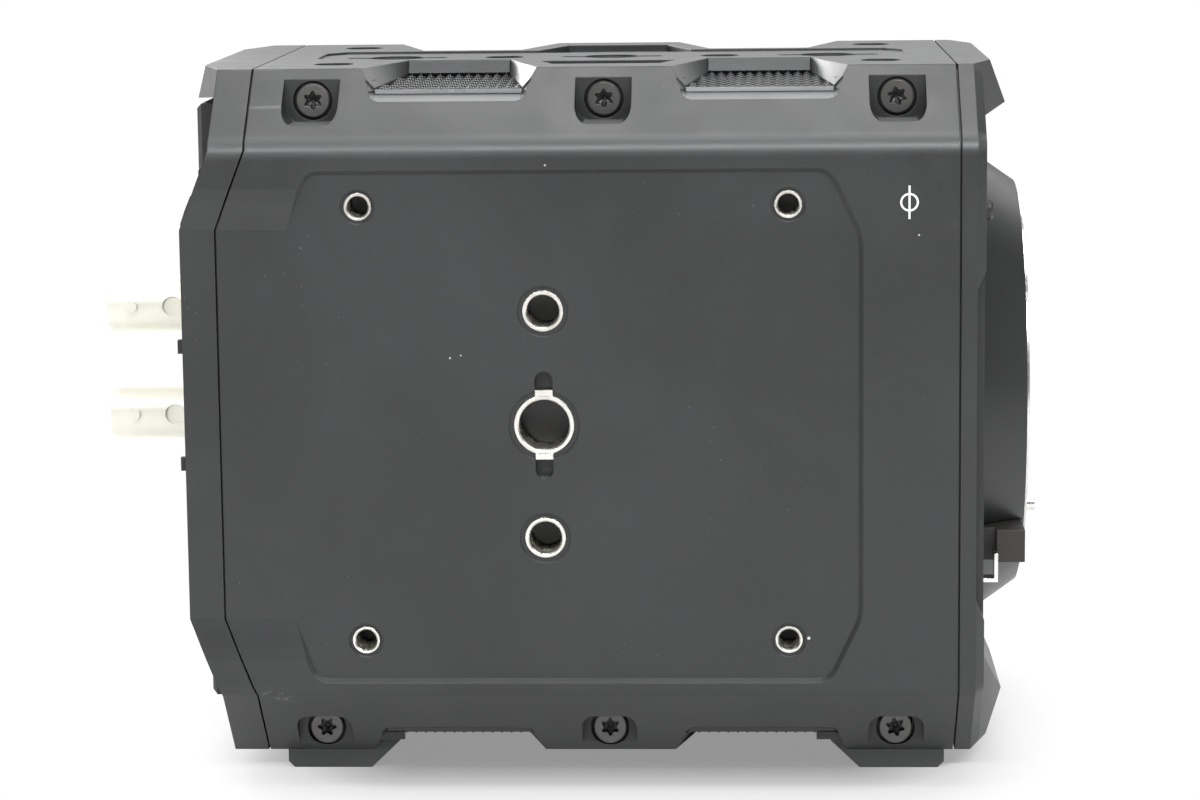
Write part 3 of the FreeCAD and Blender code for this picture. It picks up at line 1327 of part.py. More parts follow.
def make_sensor():
    frame = body("sensor_frame")
    pad(frame, "YZ", sensor_rear, bulkhead_x, centred(
        package_across + s.sensor_border, package_tall + s.sensor_border))
    cut(frame, "YZ", sensor_rear - beyond, film_x, centred(package_across, package_tall))
    glass_x = film_x + s.glass_gap
    glass_across = window_across + s.glass_rim
    glass_tall = window_tall + s.glass_rim
    cut(frame, "YZ", film_x - beyond, glass_x + s.glass_thick, centred(glass_across, glass_tall))
    cut(frame, "YZ", glass_x, bulkhead_x + beyond, centred(window_across, window_tall))
    glass = body("sensor_glass")
    pad(glass, "YZ", glass_x, glass_x + s.glass_thick, centred(glass_across, glass_tall))
    sensor = body("image_sensor")
    pad(sensor, "YZ", sensor_rear, film_x, centred(package_across, package_tall))
    board = body("sensor_board")
    pad(board, "YZ", board_rear, sensor_rear, centred(
        package_across + s.sensor_border + s.board_rim_across,
        package_tall + s.sensor_border + s.board_rim_tall))


def make_chassis():
    chassis = body("chassis")
    pad(chassis, "YZ", bulkhead_x, s.front_seam_x, poly(
        (-wall_y, hip_z + s.side_wall), (-knee_y, bottom_over), (knee_y, bottom_over),
        (wall_y, hip_z + s.side_wall), (wall_y, shoulder_z - s.side_wall),
        (knee_y, top_under), (-knee_y, top_under), (-wall_y, shoulder_z - s.side_wall)))
    cut(chassis, "YZ", bulkhead_x - beyond, s.front_seam_x + beyond,
        centred(window_across + s.light_gap, window_tall + s.light_gap))
    wide = s.release_wide / 2 + s.release_gap
    tall = s.release_tall / 2 + s.release_gap
    cut(chassis, "YZ", bulkhead_x - beyond, s.front_seam_x + beyond, rect(
        -s.release_y - wide, -s.release_y + wide,
        lens_z - s.release_z - tall, lens_z - s.release_z + tall))
    cut(chassis, "YZ", bulkhead_x - beyond, s.front_seam_x + beyond, disc(
        -s.record_y, record_z, s.record_radius + s.record_gap))
    wall_low = -chassis_wall_y
    wall_high = wall_low + s.chassis_wall
    pad(chassis, "XZ", wall_low, wall_high, rect(-s.chassis_rear_x, bulkhead_x, bottom_over, top_under))
    cut(chassis, "XZ", wall_low - beyond, wall_high + beyond, rect(
        s.relief_rear - s.chassis_rear_x, bulkhead_x - s.relief_front,
        lens_z - s.relief_half, lens_z + s.relief_half))


def make_cooling():
    sink = body("heat_sink")
    base_x = board_rear - s.sink_base
    pad(sink, "YZ", base_x, board_rear, rect(
        -s.sink_half - s.sink_ledge, s.sink_half, lens_z - s.sink_half, lens_z + s.sink_half))
    first = pad(sink, "YZ", s.sink_x, base_x, rect(
        -s.sink_half, -s.sink_half + s.fin_thick, lens_z - s.sink_half, lens_z + s.sink_half))
    rowed = sink.newObject("PartDesign::LinearPattern", "Fins")
    rowed.Originals = [first]
    rowed.Direction = (origin_part(sink, "Y_Axis"), [""])
    bind(rowed, "Length", 2 * s.sink_half - s.fin_thick)
    bind(rowed, "Occurrences", s.fin_count)
    sink.Tip = rowed
    housing = body("fan_housing", lens_z)
    rear = s.sink_x - s.fan_depth
    pad(housing, "YZ", rear, s.sink_x, rect(
        -s.fan_half - s.sink_ledge, s.fan_half, -s.fan_half, s.fan_half))
    cut(housing, "YZ", rear - beyond, s.sink_x + beyond, disc(0, 0, s.fan_bore))
    spoke_end = rear + s.spoke_thick
    arm = s.fan_bore + 1
    pad(housing, "YZ", rear, spoke_end, disc(0, 0, s.fan_hub))
    pad(housing, "YZ", rear, spoke_end, rect(-arm, arm, -s.spoke_half, s.spoke_half))
    pad(housing, "YZ", rear, spoke_end, rect(-s.spoke_half, s.spoke_half, -arm, arm))
    hub_end = rear + s.hub_end
    cap_x = hub_end + s.rotor_gap
    pad(housing, "YZ", spoke_end, hub_end, disc(0, 0, s.fan_shaft + s.hub_wall))
    cut(housing, "YZ", rear - beyond, cap_x, disc(0, 0, s.fan_shaft + s.pin_play))
    rotor = body("fan_rotor", lens_z)
    pad(rotor, "YZ", cap_x, s.sink_x - s.rotor_gap, disc(0, 0, s.fan_hub))
    pad(rotor, "YZ", rear + s.rotor_gap, cap_x, disc(0, 0, s.fan_shaft))
    pad(rotor, "YZ", rear + 2.2, cap_x, disc(0, 0, s.fan_hub), disc(0, 0, s.fan_hub - 1.2))
    lean = 3.5
    blade = pad(rotor, "XY", s.fan_hub - 0.6, s.fan_blade_radius, poly(
        (rear + 2.6, -lean - 0.6), (rear + 2.6, -lean + 0.6),
        (s.sink_x - 1.4, lean + 0.6), (s.sink_x - 1.4, lean - 0.6)))
    around = rotor.newObject("PartDesign::PolarPattern", "Blades")
    around.Originals = [blade]
    around.Axis = (origin_part(rotor, "X_Axis"), [""])
    around.Angle = 360
    bind(around, "Occurrences", s.blade_count)
    rotor.Tip = around
    main = body("main_board")
    face = -chassis_wall_y - s.board_thick
    pad(main, "XZ", face, -chassis_wall_y, rect(
        s.main_board_rear - s.chassis_rear_x, bulkhead_x - s.main_board_front,
        lens_z - s.main_board_half, lens_z + s.main_board_half))
    pad(main, "XZ", face - s.chip_tall, face,
        rect(4, 24, lens_z + 2, lens_z + 22),
        rect(4, 18, lens_z - 24, lens_z - 10),
        rect(28, 42, lens_z - 30, lens_z - 18))


# Rear cover, rear panel, battery bay and sockets

def panel_outline():
    """The rear panel: wide in the middle, with a tongue above and below."""
    y = s.panel_half_y
    flat = s.visor_half
    right = [(flat, -s.panel_top_z), (flat, -s.panel_neck_z), (y, -s.panel_half_z),
             (y, s.panel_half_z), (flat, s.panel_neck_z), (flat, s.panel_top_z)]
    left = [(-a, b) for a, b in reversed(right)]
    return poly(*[(a, lens_z + b) for a, b in right + left])


def follow_slope(owner):
    """Slant the panel's outer corners like the rear cover behind them."""
    back = -s.panel_x - beyond
    fall = s.rear_bulge / (s.bulge_end - s.bulge_half)
    for up in (1, -1):
        start = lens_z + up * (s.bulge_half + s.panel_slope_gap)
        finish = lens_z + up * s.bulge_end
        edge = -s.panel_x + fall * (s.bulge_end - s.bulge_half)
        for side in (-1, 1):
            low, high = spread(side, s.visor_half, s.panel_half_y + beyond)
            cut(owner, "XZ", low, high, poly(
                (back, start), (-s.panel_x, start), (edge, finish), (back, finish)))


bay_mid = -s.bay_y
bay_outer_y = s.bay_wide / 2 + s.bay_wall
bay_outer_z = s.bay_tall / 2 + s.bay_wall


def latch_notch():
    """Room above the battery bay for the latch and its travel."""
    wide = s.latch_wide / 2 + s.latch_room
    top = lens_z + bay_outer_z
    highest = top + s.latch_cap + s.latch_travel + s.latch_gap
    return rect(bay_mid - wide, bay_mid + wide, top - s.latch_room, highest)


def make_rear_cover():
    cover = body("rear_cover")
    outer = seam_line(s.rear_depth)
    pad(cover, "XZ", -half, half, poly(*seam_line(), *reversed(outer)))
    web_x = -s.rear_seam_x - s.rear_bulge
    web_y = knee_y - s.rear_web_wide
    web_low = hip_z + s.rear_web_tall
    web_high = shoulder_z - s.rear_web_tall
    pad(cover, "YZ", web_x - s.rear_web_out, web_x + s.rear_web_thick, poly(
        (-wall_y, web_low), (-web_y, hip_z), (web_y, hip_z), (wall_y, web_low),
        (wall_y, web_high), (web_y, shoulder_z), (-web_y, shoulder_z), (-wall_y, web_high)))
    edge = -s.rear_seam_x - s.rear_depth
    visor_under = top_z - s.visor_tall
    pad(cover, "XZ", -crown_y, crown_y, poly(
        (edge + s.visor_root, visor_under + s.visor_rise), (edge + s.visor_root, top_z),
        (-s.visor_top_x, top_z), (-s.visor_tip_x, visor_under), (edge, visor_under + s.visor_rise)))
    slope = (crown_y - s.visor_half) / (s.visor_top_x + edge)
    far_x = -s.visor_tip_x - beyond
    far_y = s.visor_half - slope * (s.visor_tip_x + beyond - s.visor_top_x)
    for side in (-1, 1):
        cut(cover, "XY", visor_under - beyond, top_z + beyond, poly(
            (edge, side * crown_y), (far_x, side * far_y),
            (far_x, side * (crown_y + beyond)), (edge, side * (crown_y + beyond))))
    long_low = -s.visor_tip_x - beyond
    long_high = -s.rear_seam_x + beyond
    for side in (-1, 1):
        for level_edge, level, past in ((shoulder_z, top_z, beyond), (hip_z, floor_z, -beyond)):
            cut(cover, "YZ", long_low, long_high, poly(
                (side * half, level_edge), (side * crown_y, level),
                (side * crown_y, level + past), (side * (half + beyond), level + past),
                (side * (half + beyond), level_edge)))
    round_edges(cover)
    back = -s.rear_seam_x - s.rear_depth - s.rear_bulge - beyond
    cut(cover, "XZ", -half - beyond, right_face, rect(
        back, -s.rear_seam_x + beyond, lens_z - s.bulge_half, lens_z + s.bulge_half))
    recess_ramp(cover, back, -s.rear_seam_x + beyond)
    cut(cover, "YZ", -s.rear_seam_x - s.seam_gap, -s.rear_seam_x + beyond,
        body_section(-beyond), body_section(s.seam_deep))
    for side in (-1, 1):
        low, high = spread(side, half - s.seam_deep - s.recess_deep, half + beyond)
        cut(cover, "XZ", low, high, poly(*seam_line(-beyond), *reversed(seam_line(s.seam_gap))))
    cut(cover, "YZ", -s.panel_x - beyond, -s.panel_seat_x, panel_outline())
    through = s.rear_hole_deep - s.rear_seam_x
    cut(cover, "YZ", back, through, rect(
        bay_mid - bay_outer_y, bay_mid + bay_outer_y,
        lens_z - bay_outer_z, lens_z + bay_outer_z))
    cut(cover, "YZ", back, through, latch_notch())
    cut(cover, "YZ", back, through, rect(
        bay_mid + bay_outer_y + s.socket_room_gap, s.socket_room_side,
        lens_z - s.socket_room_low, lens_z + s.socket_room_high))
    return cover


jack_spots = [lens_z + s.jack_mid_z + a * s.jack_pitch / 2 for a in (1, -1)]
round_spots = [("power_socket", dim(30), lens_z - 19), ("audio_socket", dim(14.5), lens_z - 24)]
network_spot = (dim(31.5), lens_z + 2)
usb_spot = (dim(31.5), lens_z + 17)
mini_spots = [(dim(14), lens_z + 27), (dim(25), lens_z + 27)]


def make_rear_panel():
    panel = body("rear_panel")
    pad(panel, "YZ", -s.panel_x, -s.panel_seat_x, panel_outline())
    dress(panel, "Chamfer", s.panel_bevel, lambda x0, x1, y0, y1, z0, z1: near(x1, -s.panel_x))
    holes = [rect(bay_mid - bay_outer_y, bay_mid + bay_outer_y,
                  lens_z - bay_outer_z, lens_z + bay_outer_z)]
    holes += [disc(s.jack_y, z, s.jack_collar) for z in jack_spots]
    holes += [disc(y, z, s.round_radius) for label, y, z in round_spots]
    holes += [disc(y, z, s.mini_radius) for y, z in mini_spots]
    for (y, z), wide, tall in ((network_spot, s.network_wide, s.network_tall),
                               (usb_spot, s.usb_wide, s.usb_tall)):
        holes.append(rect(y - wide / 2, y + wide / 2, z - tall / 2, z + tall / 2))
    cut(panel, "YZ", -s.panel_x - beyond, -s.panel_seat_x + beyond, *holes)
    follow_slope(panel)
    bump = s.bump_in - s.panel_half_y
    pad(panel, "YZ", -s.panel_x - s.key_bump, s.bump_root - s.panel_x,
        *[rect(bump, bump + s.bump_wide, z - s.bump_half, z + s.bump_half) for z in jack_spots])
    cut(panel, "YZ", -s.panel_x - beyond, -s.panel_seat_x + beyond, latch_notch())


def make_battery_bay():
    bay = body("battery_bay")
    rear = -s.panel_x
    front = rear + s.bay_deep
    wide = s.bay_wide / 2
    tall = s.bay_tall / 2
    pad(bay, "YZ", rear, front + s.bay_wall, rect(
        bay_mid - bay_outer_y, bay_mid + bay_outer_y, lens_z - bay_outer_z, lens_z + bay_outer_z))
    cut(bay, "YZ", rear - beyond, front, rect(
        bay_mid - wide, bay_mid + wide, lens_z - tall, lens_z + tall))
    for up in (1, -1):
        start = lens_z + up * (s.bulge_half + s.panel_slope_gap)
        finish = lens_z + up * s.bulge_end
        low = bay_mid - bay_outer_y - beyond
        cut(bay, "XZ", low, -s.visor_half, poly(
            (rear - beyond, start), (rear, start), (rear + s.rear_bulge, finish), (rear - beyond, finish)))
    for side in (-1, 1):
        edge = bay_mid + side * wide
        inner = bay_mid + side * (wide - s.bay_rail)
        pad(bay, "YZ", rear + s.bay_rail_start, front,
            rect(inner, edge, lens_z - s.bay_rail_far, lens_z - s.bay_rail_near),
            rect(inner, edge, lens_z + s.bay_rail_near, lens_z + s.bay_rail_far))
    latch_z = lens_z + tall
    play = s.button_play
    cut(bay, "XY", latch_z - beyond, latch_z + s.bay_wall + beyond, rect(
        rear - beyond, rear + s.latch_long + play,
        bay_mid - s.latch_wide / 2 - play, bay_mid + s.latch_wide / 2 + play))
    latch = body("battery_latch")
    pad(latch, "XY", latch_z - s.latch_hook, latch_z + s.bay_wall + s.latch_cap, rect(
        rear, rear + s.latch_long, bay_mid - s.latch_wide / 2, bay_mid + s.latch_wide / 2))
    cut(latch, "XZ", bay_mid - s.latch_wide, bay_mid + s.latch_wide, poly(
        (rear - beyond, latch_z - s.latch_hook - beyond), (rear + 6, latch_z - s.latch_hook - beyond),
        (rear + 4, latch_z + 0.2), (rear - beyond, latch_z + 0.2)))
    blades = []
    for number in range(5):
        y = bay_mid + s.blade_pitch * (number - 2)
        blades.append(block(front - s.blade_long, front, y - s.blade_half, y + s.blade_half,
                            lens_z - s.blade_low, lens_z - s.blade_high))
    group("battery_contacts", *blades)


def make_sockets():
    shells = []
    liners = []
    pins = []
    back = -s.socket_back_x
    collar_x = -s.panel_x - s.collar_out
    end = -s.jack_end_x
    for z in jack_spots:
        outer = fused(
            rod("X", collar_x, s.jack_y, z, back - collar_x, s.jack_collar),
            rod("X", end, s.jack_y, z, s.jack_end_x - s.panel_x, s.jack_radius),
            rod("Y", end + s.stud_in, s.jack_y - s.jack_radius - s.stud_out, z,
                2 * (s.jack_radius + s.stud_out), s.stud_radius))
        shells.append(less(
            outer,
            rod("X", end - beyond, s.jack_y, z, s.jack_deep + beyond, s.jack_bore),
            rod("Y", end + s.dimple_in, s.jack_y - s.jack_radius - beyond, z,
                beyond + s.dimple_deep, s.dimple_radius)))
        liner_x = end + s.liner_in
        liner_long = s.jack_deep - s.liner_in
        liners.append(less(
            rod("X", liner_x, s.jack_y, z, liner_long, s.liner_radius),
            rod("X", liner_x - beyond, s.jack_y, z, liner_long - s.liner_floor + beyond, s.liner_bore)))
        pins.append(rod("X", end + s.jack_pin_in, s.jack_y, z,
                        s.jack_deep - s.liner_floor - s.jack_pin_in, s.jack_pin_radius))
    group("video_jack_shells", *shells)
    group("video_jack_liners", *liners)
    group("video_jack_pins", *pins)
    face = -s.panel_x - s.socket_out
    socket_pins = []
    for label, y, z in round_spots:
        named(label, less(
            rod("X", face, y, z, back - face, s.round_radius),
            rod("X", face - beyond, y, z, s.round_deep + beyond, s.round_bore)))
        spots = [(-2.2, 0), (2.2, 0)] if label == "power_socket" else [(-2, 1.2), (2, 1.2), (0, -2.3)]
        for a, b in spots:
            socket_pins.append(rod("X", face + s.round_deep - s.socket_pin_long, y + a, z + b,
                                   s.socket_pin_long, s.socket_pin_radius))
    group("socket_pins", *socket_pins)
    y, z = network_spot
    jack = body("network_socket")
    pad(jack, "YZ", face, back, rect(
        y - s.network_wide / 2, y + s.network_wide / 2,
        z - s.network_tall / 2, z + s.network_tall / 2))
    cut(jack, "YZ", face - beyond, face + s.network_deep, poly(
        (y - 5.9, z - 3.6), (y + 5.9, z - 3.6), (y + 5.9, z + 3.3), (y + 3.2, z + 3.3),
        (y + 3.2, z + 4.9), (y - 3.2, z + 4.9), (y - 3.2, z + 3.3), (y - 5.9, z + 3.3)))
    y, z = usb_spot
    usb = body("data_socket")
    pad(usb, "YZ", face, back, rect(
        y - s.usb_wide / 2, y + s.usb_wide / 2, z - s.usb_tall / 2, z + s.usb_tall / 2))
    cut(usb, "YZ", face - beyond, face + s.usb_deep, rect(y - 4.5, y + 4.5, z - 1.3, z + 1.3))
    pad(usb, "YZ", face + 1.5, face + 6.6, rect(y - 3.3, y + 3.3, z - 0.35, z + 0.35))
    minis = []
    for y, z in mini_spots:
        minis.append(less(
            rod("X", face, y, z, back - face, s.mini_radius),
            rod("X", face - beyond, y, z, s.mini_deep + beyond, s.mini_bore)))
    group("headphone_sockets", *minis)


# Left side: display, keys, switch and media door

def make_display():
    long_half = s.display_long / 2
    tall_half = s.display_tall / 2
    rim = s.display_rim
    seat = half - s.display_sink
    glass_y = half - 0.9
    frame = body("display_frame")
    pad(frame, "XZ", seat, half, rect(
        s.display_x - long_half, s.display_x + long_half,
        display_mid - tall_half, display_mid + tall_half))
    dress(frame, "Fillet", 2.5, lambda x0, x1, y0, y1, z0, z1:
          y1 - y0 > 2 and x1 - x0 < 0.1 and z1 - z0 < 0.1)
    cut(frame, "XZ", glass_y, half + beyond, rect(
        s.display_x - long_half + rim, s.display_x + long_half - rim,
        display_mid - tall_half + rim, display_mid + tall_half - rim))
    cut(frame, "XZ", seat - beyond, half + beyond, rect(
        s.display_x - long_half + 2 * rim, s.display_x + long_half - 2 * rim,
        display_mid - tall_half + 2 * rim, display_mid + tall_half - 2 * rim))
    glass = body("display_glass")
    pad(glass, "XZ", glass_y, half - 0.1, rect(
        s.display_x - long_half + rim, s.display_x + long_half - rim,
        display_mid - tall_half + rim, display_mid + tall_half - rim))
    module = body("display_module")
    pad(module, "XZ", glass_y - 5.2, glass_y, rect(
        s.display_x - long_half + 2 * rim, s.display_x + long_half - 2 * rim,
        display_mid - tall_half + 2 * rim, display_mid + tall_half - 2 * rim))


def make_keys():
    out = half - s.control_recess + s.key_out
    stem = wall_y - 1.2
    for number, x in enumerate(KEYS, start=1):
        key = body(f"function_key_{number}")
        pad(key, "XZ", stem, out, rect(
            x - s.key_long / 2, x + s.key_long / 2,
            key_height - s.key_tall / 2, key_height + s.key_tall / 2))
        pad(key, "XZ", stem, wall_y - 0.3, rect(
            x - s.key_long / 2 - 0.8, x + s.key_long / 2 + 0.8,
            key_height - s.key_tall / 2 - 0.8, key_height + s.key_tall / 2 + 0.8))
        dress(key, "Chamfer", 0.35, lambda x0, x1, y0, y1, z0, z1: near(y0, out))
    record = body("side_record_button")
    pad(record, "XZ", stem, out, disc(s.side_record_x, key_height, s.side_record_radius))
    pad(record, "XZ", stem, wall_y - 0.3, disc(s.side_record_x, key_height, s.side_record_radius + 0.8))
    dress(record, "Chamfer", 0.4, lambda x0, x1, y0, y1, z0, z1: near(y0, out))
    switch = body("power_switch")
    play = s.button_play
    low = power_mid - s.power_slot_long / 2 + play
    pad(switch, "XZ", wall_y - 1.3, half, rect(
        -s.power_x - s.power_slot_wide / 2 + play, -s.power_x + s.power_slot_wide / 2 - play,
        low, low + 6.4))
    pad(switch, "XZ", wall_y - 1.3, wall_y - 0.3, rect(
        -s.power_x - s.power_slot_wide / 2 - 0.9, -s.power_x + s.power_slot_wide / 2 + 0.9,
        low - 1, low + 7.4))
    ridges = [rect(-s.power_x - 3, -s.power_x + 3, low + 1.2 + step, low + 1.6 + step)
              for step in (0, 1.2, 2.4, 3.6)]
    cut(switch, "XZ", half - 0.4, half + beyond, *ridges)


def make_media():
    wide = s.door_wide / 2
    tall = s.door_tall / 2
    inner = half - s.door_thick
    left = -s.door_x - wide
    right = -s.door_x + wide
    door = body("media_door")
    pad(door, "XZ", inner, half, rect(
        door_hinge_x, right, door_mid - tall, door_mid + tall))
    pad(door, "XY", door_mid - tall, door_mid + tall, disc(door_hinge_x, door_hinge_y, 0.95))
    cut(door, "XY", door_mid - tall - beyond, door_mid + tall + beyond,
        disc(door_hinge_x, door_hinge_y, s.pin_radius + s.pin_play))
    cut(door, "XZ", inner + 0.9, half + beyond, rect(
        right - 3.6, right - 1.6, door_mid - 6, door_mid + 6))
    named("door_pin", rod(
        "Z", door_hinge_x, door_hinge_y, door_mid - tall - s.pin_end,
        s.door_tall + 2 * s.pin_end, s.pin_radius))
    slots = body("card_slots")
    face = wall_y - 2.4
    pad(slots, "XZ", 3, face, rect(
        left + 0.9, right + 1.5, door_mid - tall - 0.5, door_mid + tall + 0.5))
    lips = [rect(x - s.card_thick / 2, x + s.card_thick / 2,
                 door_mid - s.card_wide / 2, door_mid + s.card_wide / 2)
            for x in (-s.door_x - 1.6, -s.door_x + 4.4)]
    cut(slots, "XZ", 4, face + beyond, *lips)


# Feet and front controls

def make_feet():
    """Rubber feet with a ramp whose tip fills the plate's notch beside the vents."""
    feet = []
    for end_x, way in ((-s.foot_rear_x, 1), (s.foot_front_x, -1)):
        tip = end_x + way * s.foot_long
        root = end_x + way * s.foot_root
        top = floor_z + s.foot_tip
        outline = [
            (end_x, floor_z), (end_x, s.foot_round), (end_x + way * s.foot_round, 0),
            (end_x + way * s.foot_sole, 0), (tip, top - s.foot_blunt), (tip, top),
            (root, top), (root, floor_z)]
        for side in (-1, 1):
            inner, outer = spread(side, crown_y - s.foot_wide, crown_y)
            foot = body("Foot")
            nodes.remove(foot)
            pad(foot, "XZ", inner, outer, poly(*outline))
            feet.append(foot)
    group("feet", *feet)


def make_front_controls():
    button = body("lens_release_button")
    z = lens_z - s.release_z
    wide = s.release_wide / 2
    tall = s.release_tall / 2
    inner_x = s.front_seam_x - 2.2
    pad(button, "YZ", inner_x, s.release_x, rect(
        -s.release_y - wide, -s.release_y + wide, z - tall, z + tall))
    outer_y = -s.release_y - wide
    cut(button, "XY", z - tall - beyond, z + tall + beyond, rect(
        front_x, front_x + s.release_neck, outer_y - beyond, outer_y + s.release_waist))
    pad(button, "YZ", inner_x, s.front_seam_x - 0.3, rect(
        -s.release_y - wide - 1, -s.release_y + wide + 1, z - tall - 1, z + tall + 1))
    record = body("front_record_button")
    pad(record, "YZ", s.front_seam_x - 1.8, front_x + s.record_out, disc(
        -s.record_y, record_z, s.record_radius))
    pad(record, "YZ", s.front_seam_x - 1.8, s.front_seam_x - 0.3, disc(
        -s.record_y, record_z, s.record_radius + 0.8))
    dress(record, "Chamfer", 0.3, lambda x0, x1, y0, y1, z0, z1: near(x0, front_x + s.record_out))
    clip = body("sheet_metal_lug")
    thin = s.clip_sheet
    low = lens_z - s.clip_down
    out = front_x + s.release_neck
    high = low + s.clip_tall
    pad(clip, "XZ", outer_y - s.clip_gap - s.clip_wide, outer_y - s.clip_gap, poly(
        (front_x, low), (out, low), (out, high),
        (out - thin, high), (out - thin, low + thin), (front_x, low + thin)))


make_right_cover()
make_left_cover()
make_fasteners()
make_plates()
make_grilles()
make_front_cover()
make_mount()
make_sensor()
make_chassis()
make_cooling()
make_rear_cover()
make_rear_panel()
make_battery_bay()
make_sockets()
make_display()
make_keys()
make_media()
make_feet()
make_front_controls()
doc.recompute()


def check(made):
    """Every object up to date, every cut that should bite bites, every shape sound."""
    for thing in doc.Objects:
        if "Invalid" in thing.State or "Error" in thing.State:
            raise RuntimeError(f"{thing.Label} is {thing.State}")
    for thing in made:
        if thing.Shape.isNull() or not thing.Shape.isValid():
            raise RuntimeError(f"{thing.Label} has no sound shape")
        if thing.TypeId != "PartDesign::Body":
            continue
        volume = None
        for feature in thing.Group:
            if not feature.isDerivedFrom("PartDesign::Feature"):
                continue
            after = feature.Shape.Volume
            if volume is not None and abs(after - volume) < 1e-6:
                raise RuntimeError(f"{feature.Name} changes nothing in {thing.Label}")
            volume = after


check(nodes)
os.makedirs("parts", exist_ok=True)
for node in nodes:
    node.Shape.exportStep(os.path.join("parts", node.Label + ".step"))
    print(node.Label, len(node.Shape.Solids), round(node.Shape.Volume, 1))
print(len(nodes), "nodes")
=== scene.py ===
import math

import bpy
from mathutils import Matrix, Vector


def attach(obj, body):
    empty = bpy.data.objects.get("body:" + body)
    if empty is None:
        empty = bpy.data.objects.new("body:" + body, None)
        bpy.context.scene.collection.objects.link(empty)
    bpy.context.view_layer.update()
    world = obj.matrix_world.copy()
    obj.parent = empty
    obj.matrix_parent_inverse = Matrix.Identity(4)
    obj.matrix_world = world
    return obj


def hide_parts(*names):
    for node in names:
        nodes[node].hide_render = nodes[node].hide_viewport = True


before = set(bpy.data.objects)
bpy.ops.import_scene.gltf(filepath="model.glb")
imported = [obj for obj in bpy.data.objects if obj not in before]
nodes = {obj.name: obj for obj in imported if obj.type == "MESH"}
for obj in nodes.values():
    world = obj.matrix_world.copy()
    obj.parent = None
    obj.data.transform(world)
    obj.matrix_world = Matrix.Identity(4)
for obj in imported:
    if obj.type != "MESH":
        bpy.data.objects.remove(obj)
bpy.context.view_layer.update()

MM = 0.001
scene = bpy.context.scene

# Places in the shared frame, in millimetres: x towards the lens, y to the left side, z up
LENS_Z = 58.3
SIDE_Y = 47.5
RECESS_Y = 46.7
FILM_X = 57.0
TOP_Z = 113.6
BOTTOM_Z = 3.0
PLATE_X = 9.5
SCREW_Y = 36.5
SCREW_XS = (-36.5, 9.5, 55.5)
SCREW_ZS = (108.7, 7.2)
VENT_XS = (-15.0, 34.0)
FOOT_TIP_XS = (-26.4, 45.4)

# Dust specks and scuffs on the right side: x, z and radius
SPECKS = [(41.4, 24.1, 0.20), (0.7, 99.2, 0.11), (-14.6, 69.0, 0.12), (-12.9, 69.4, 0.10),
          (58.5, 88.0, 0.11)]
SCUFFS = [(-44.2, 15.1, 0.9), (-42.9, 15.0, 1.0), (-41.6, 14.8, 0.8)]


# Materials

# The sockets of a mix node that carry colours
MIX_FACTOR, MIX_A, MIX_B, MIX_RESULT = 0, 6, 7, 2
BEVEL_SAMPLES = 6
# The distance of a bump whose height is a true length
METRE = 1 / MM


def add_node(tree, kind, values=None, **settings):
    """A new node with its settings and inputs; an input given as a socket is linked."""
    node = tree.nodes.new(kind)
    for key, value in settings.items():
        setattr(node, key, value)
    for key, value in (values or {}).items():
        if isinstance(value, bpy.types.NodeSocket):
            tree.links.new(value, node.inputs[key])
        else:
            node.inputs[key].default_value = value
    return node


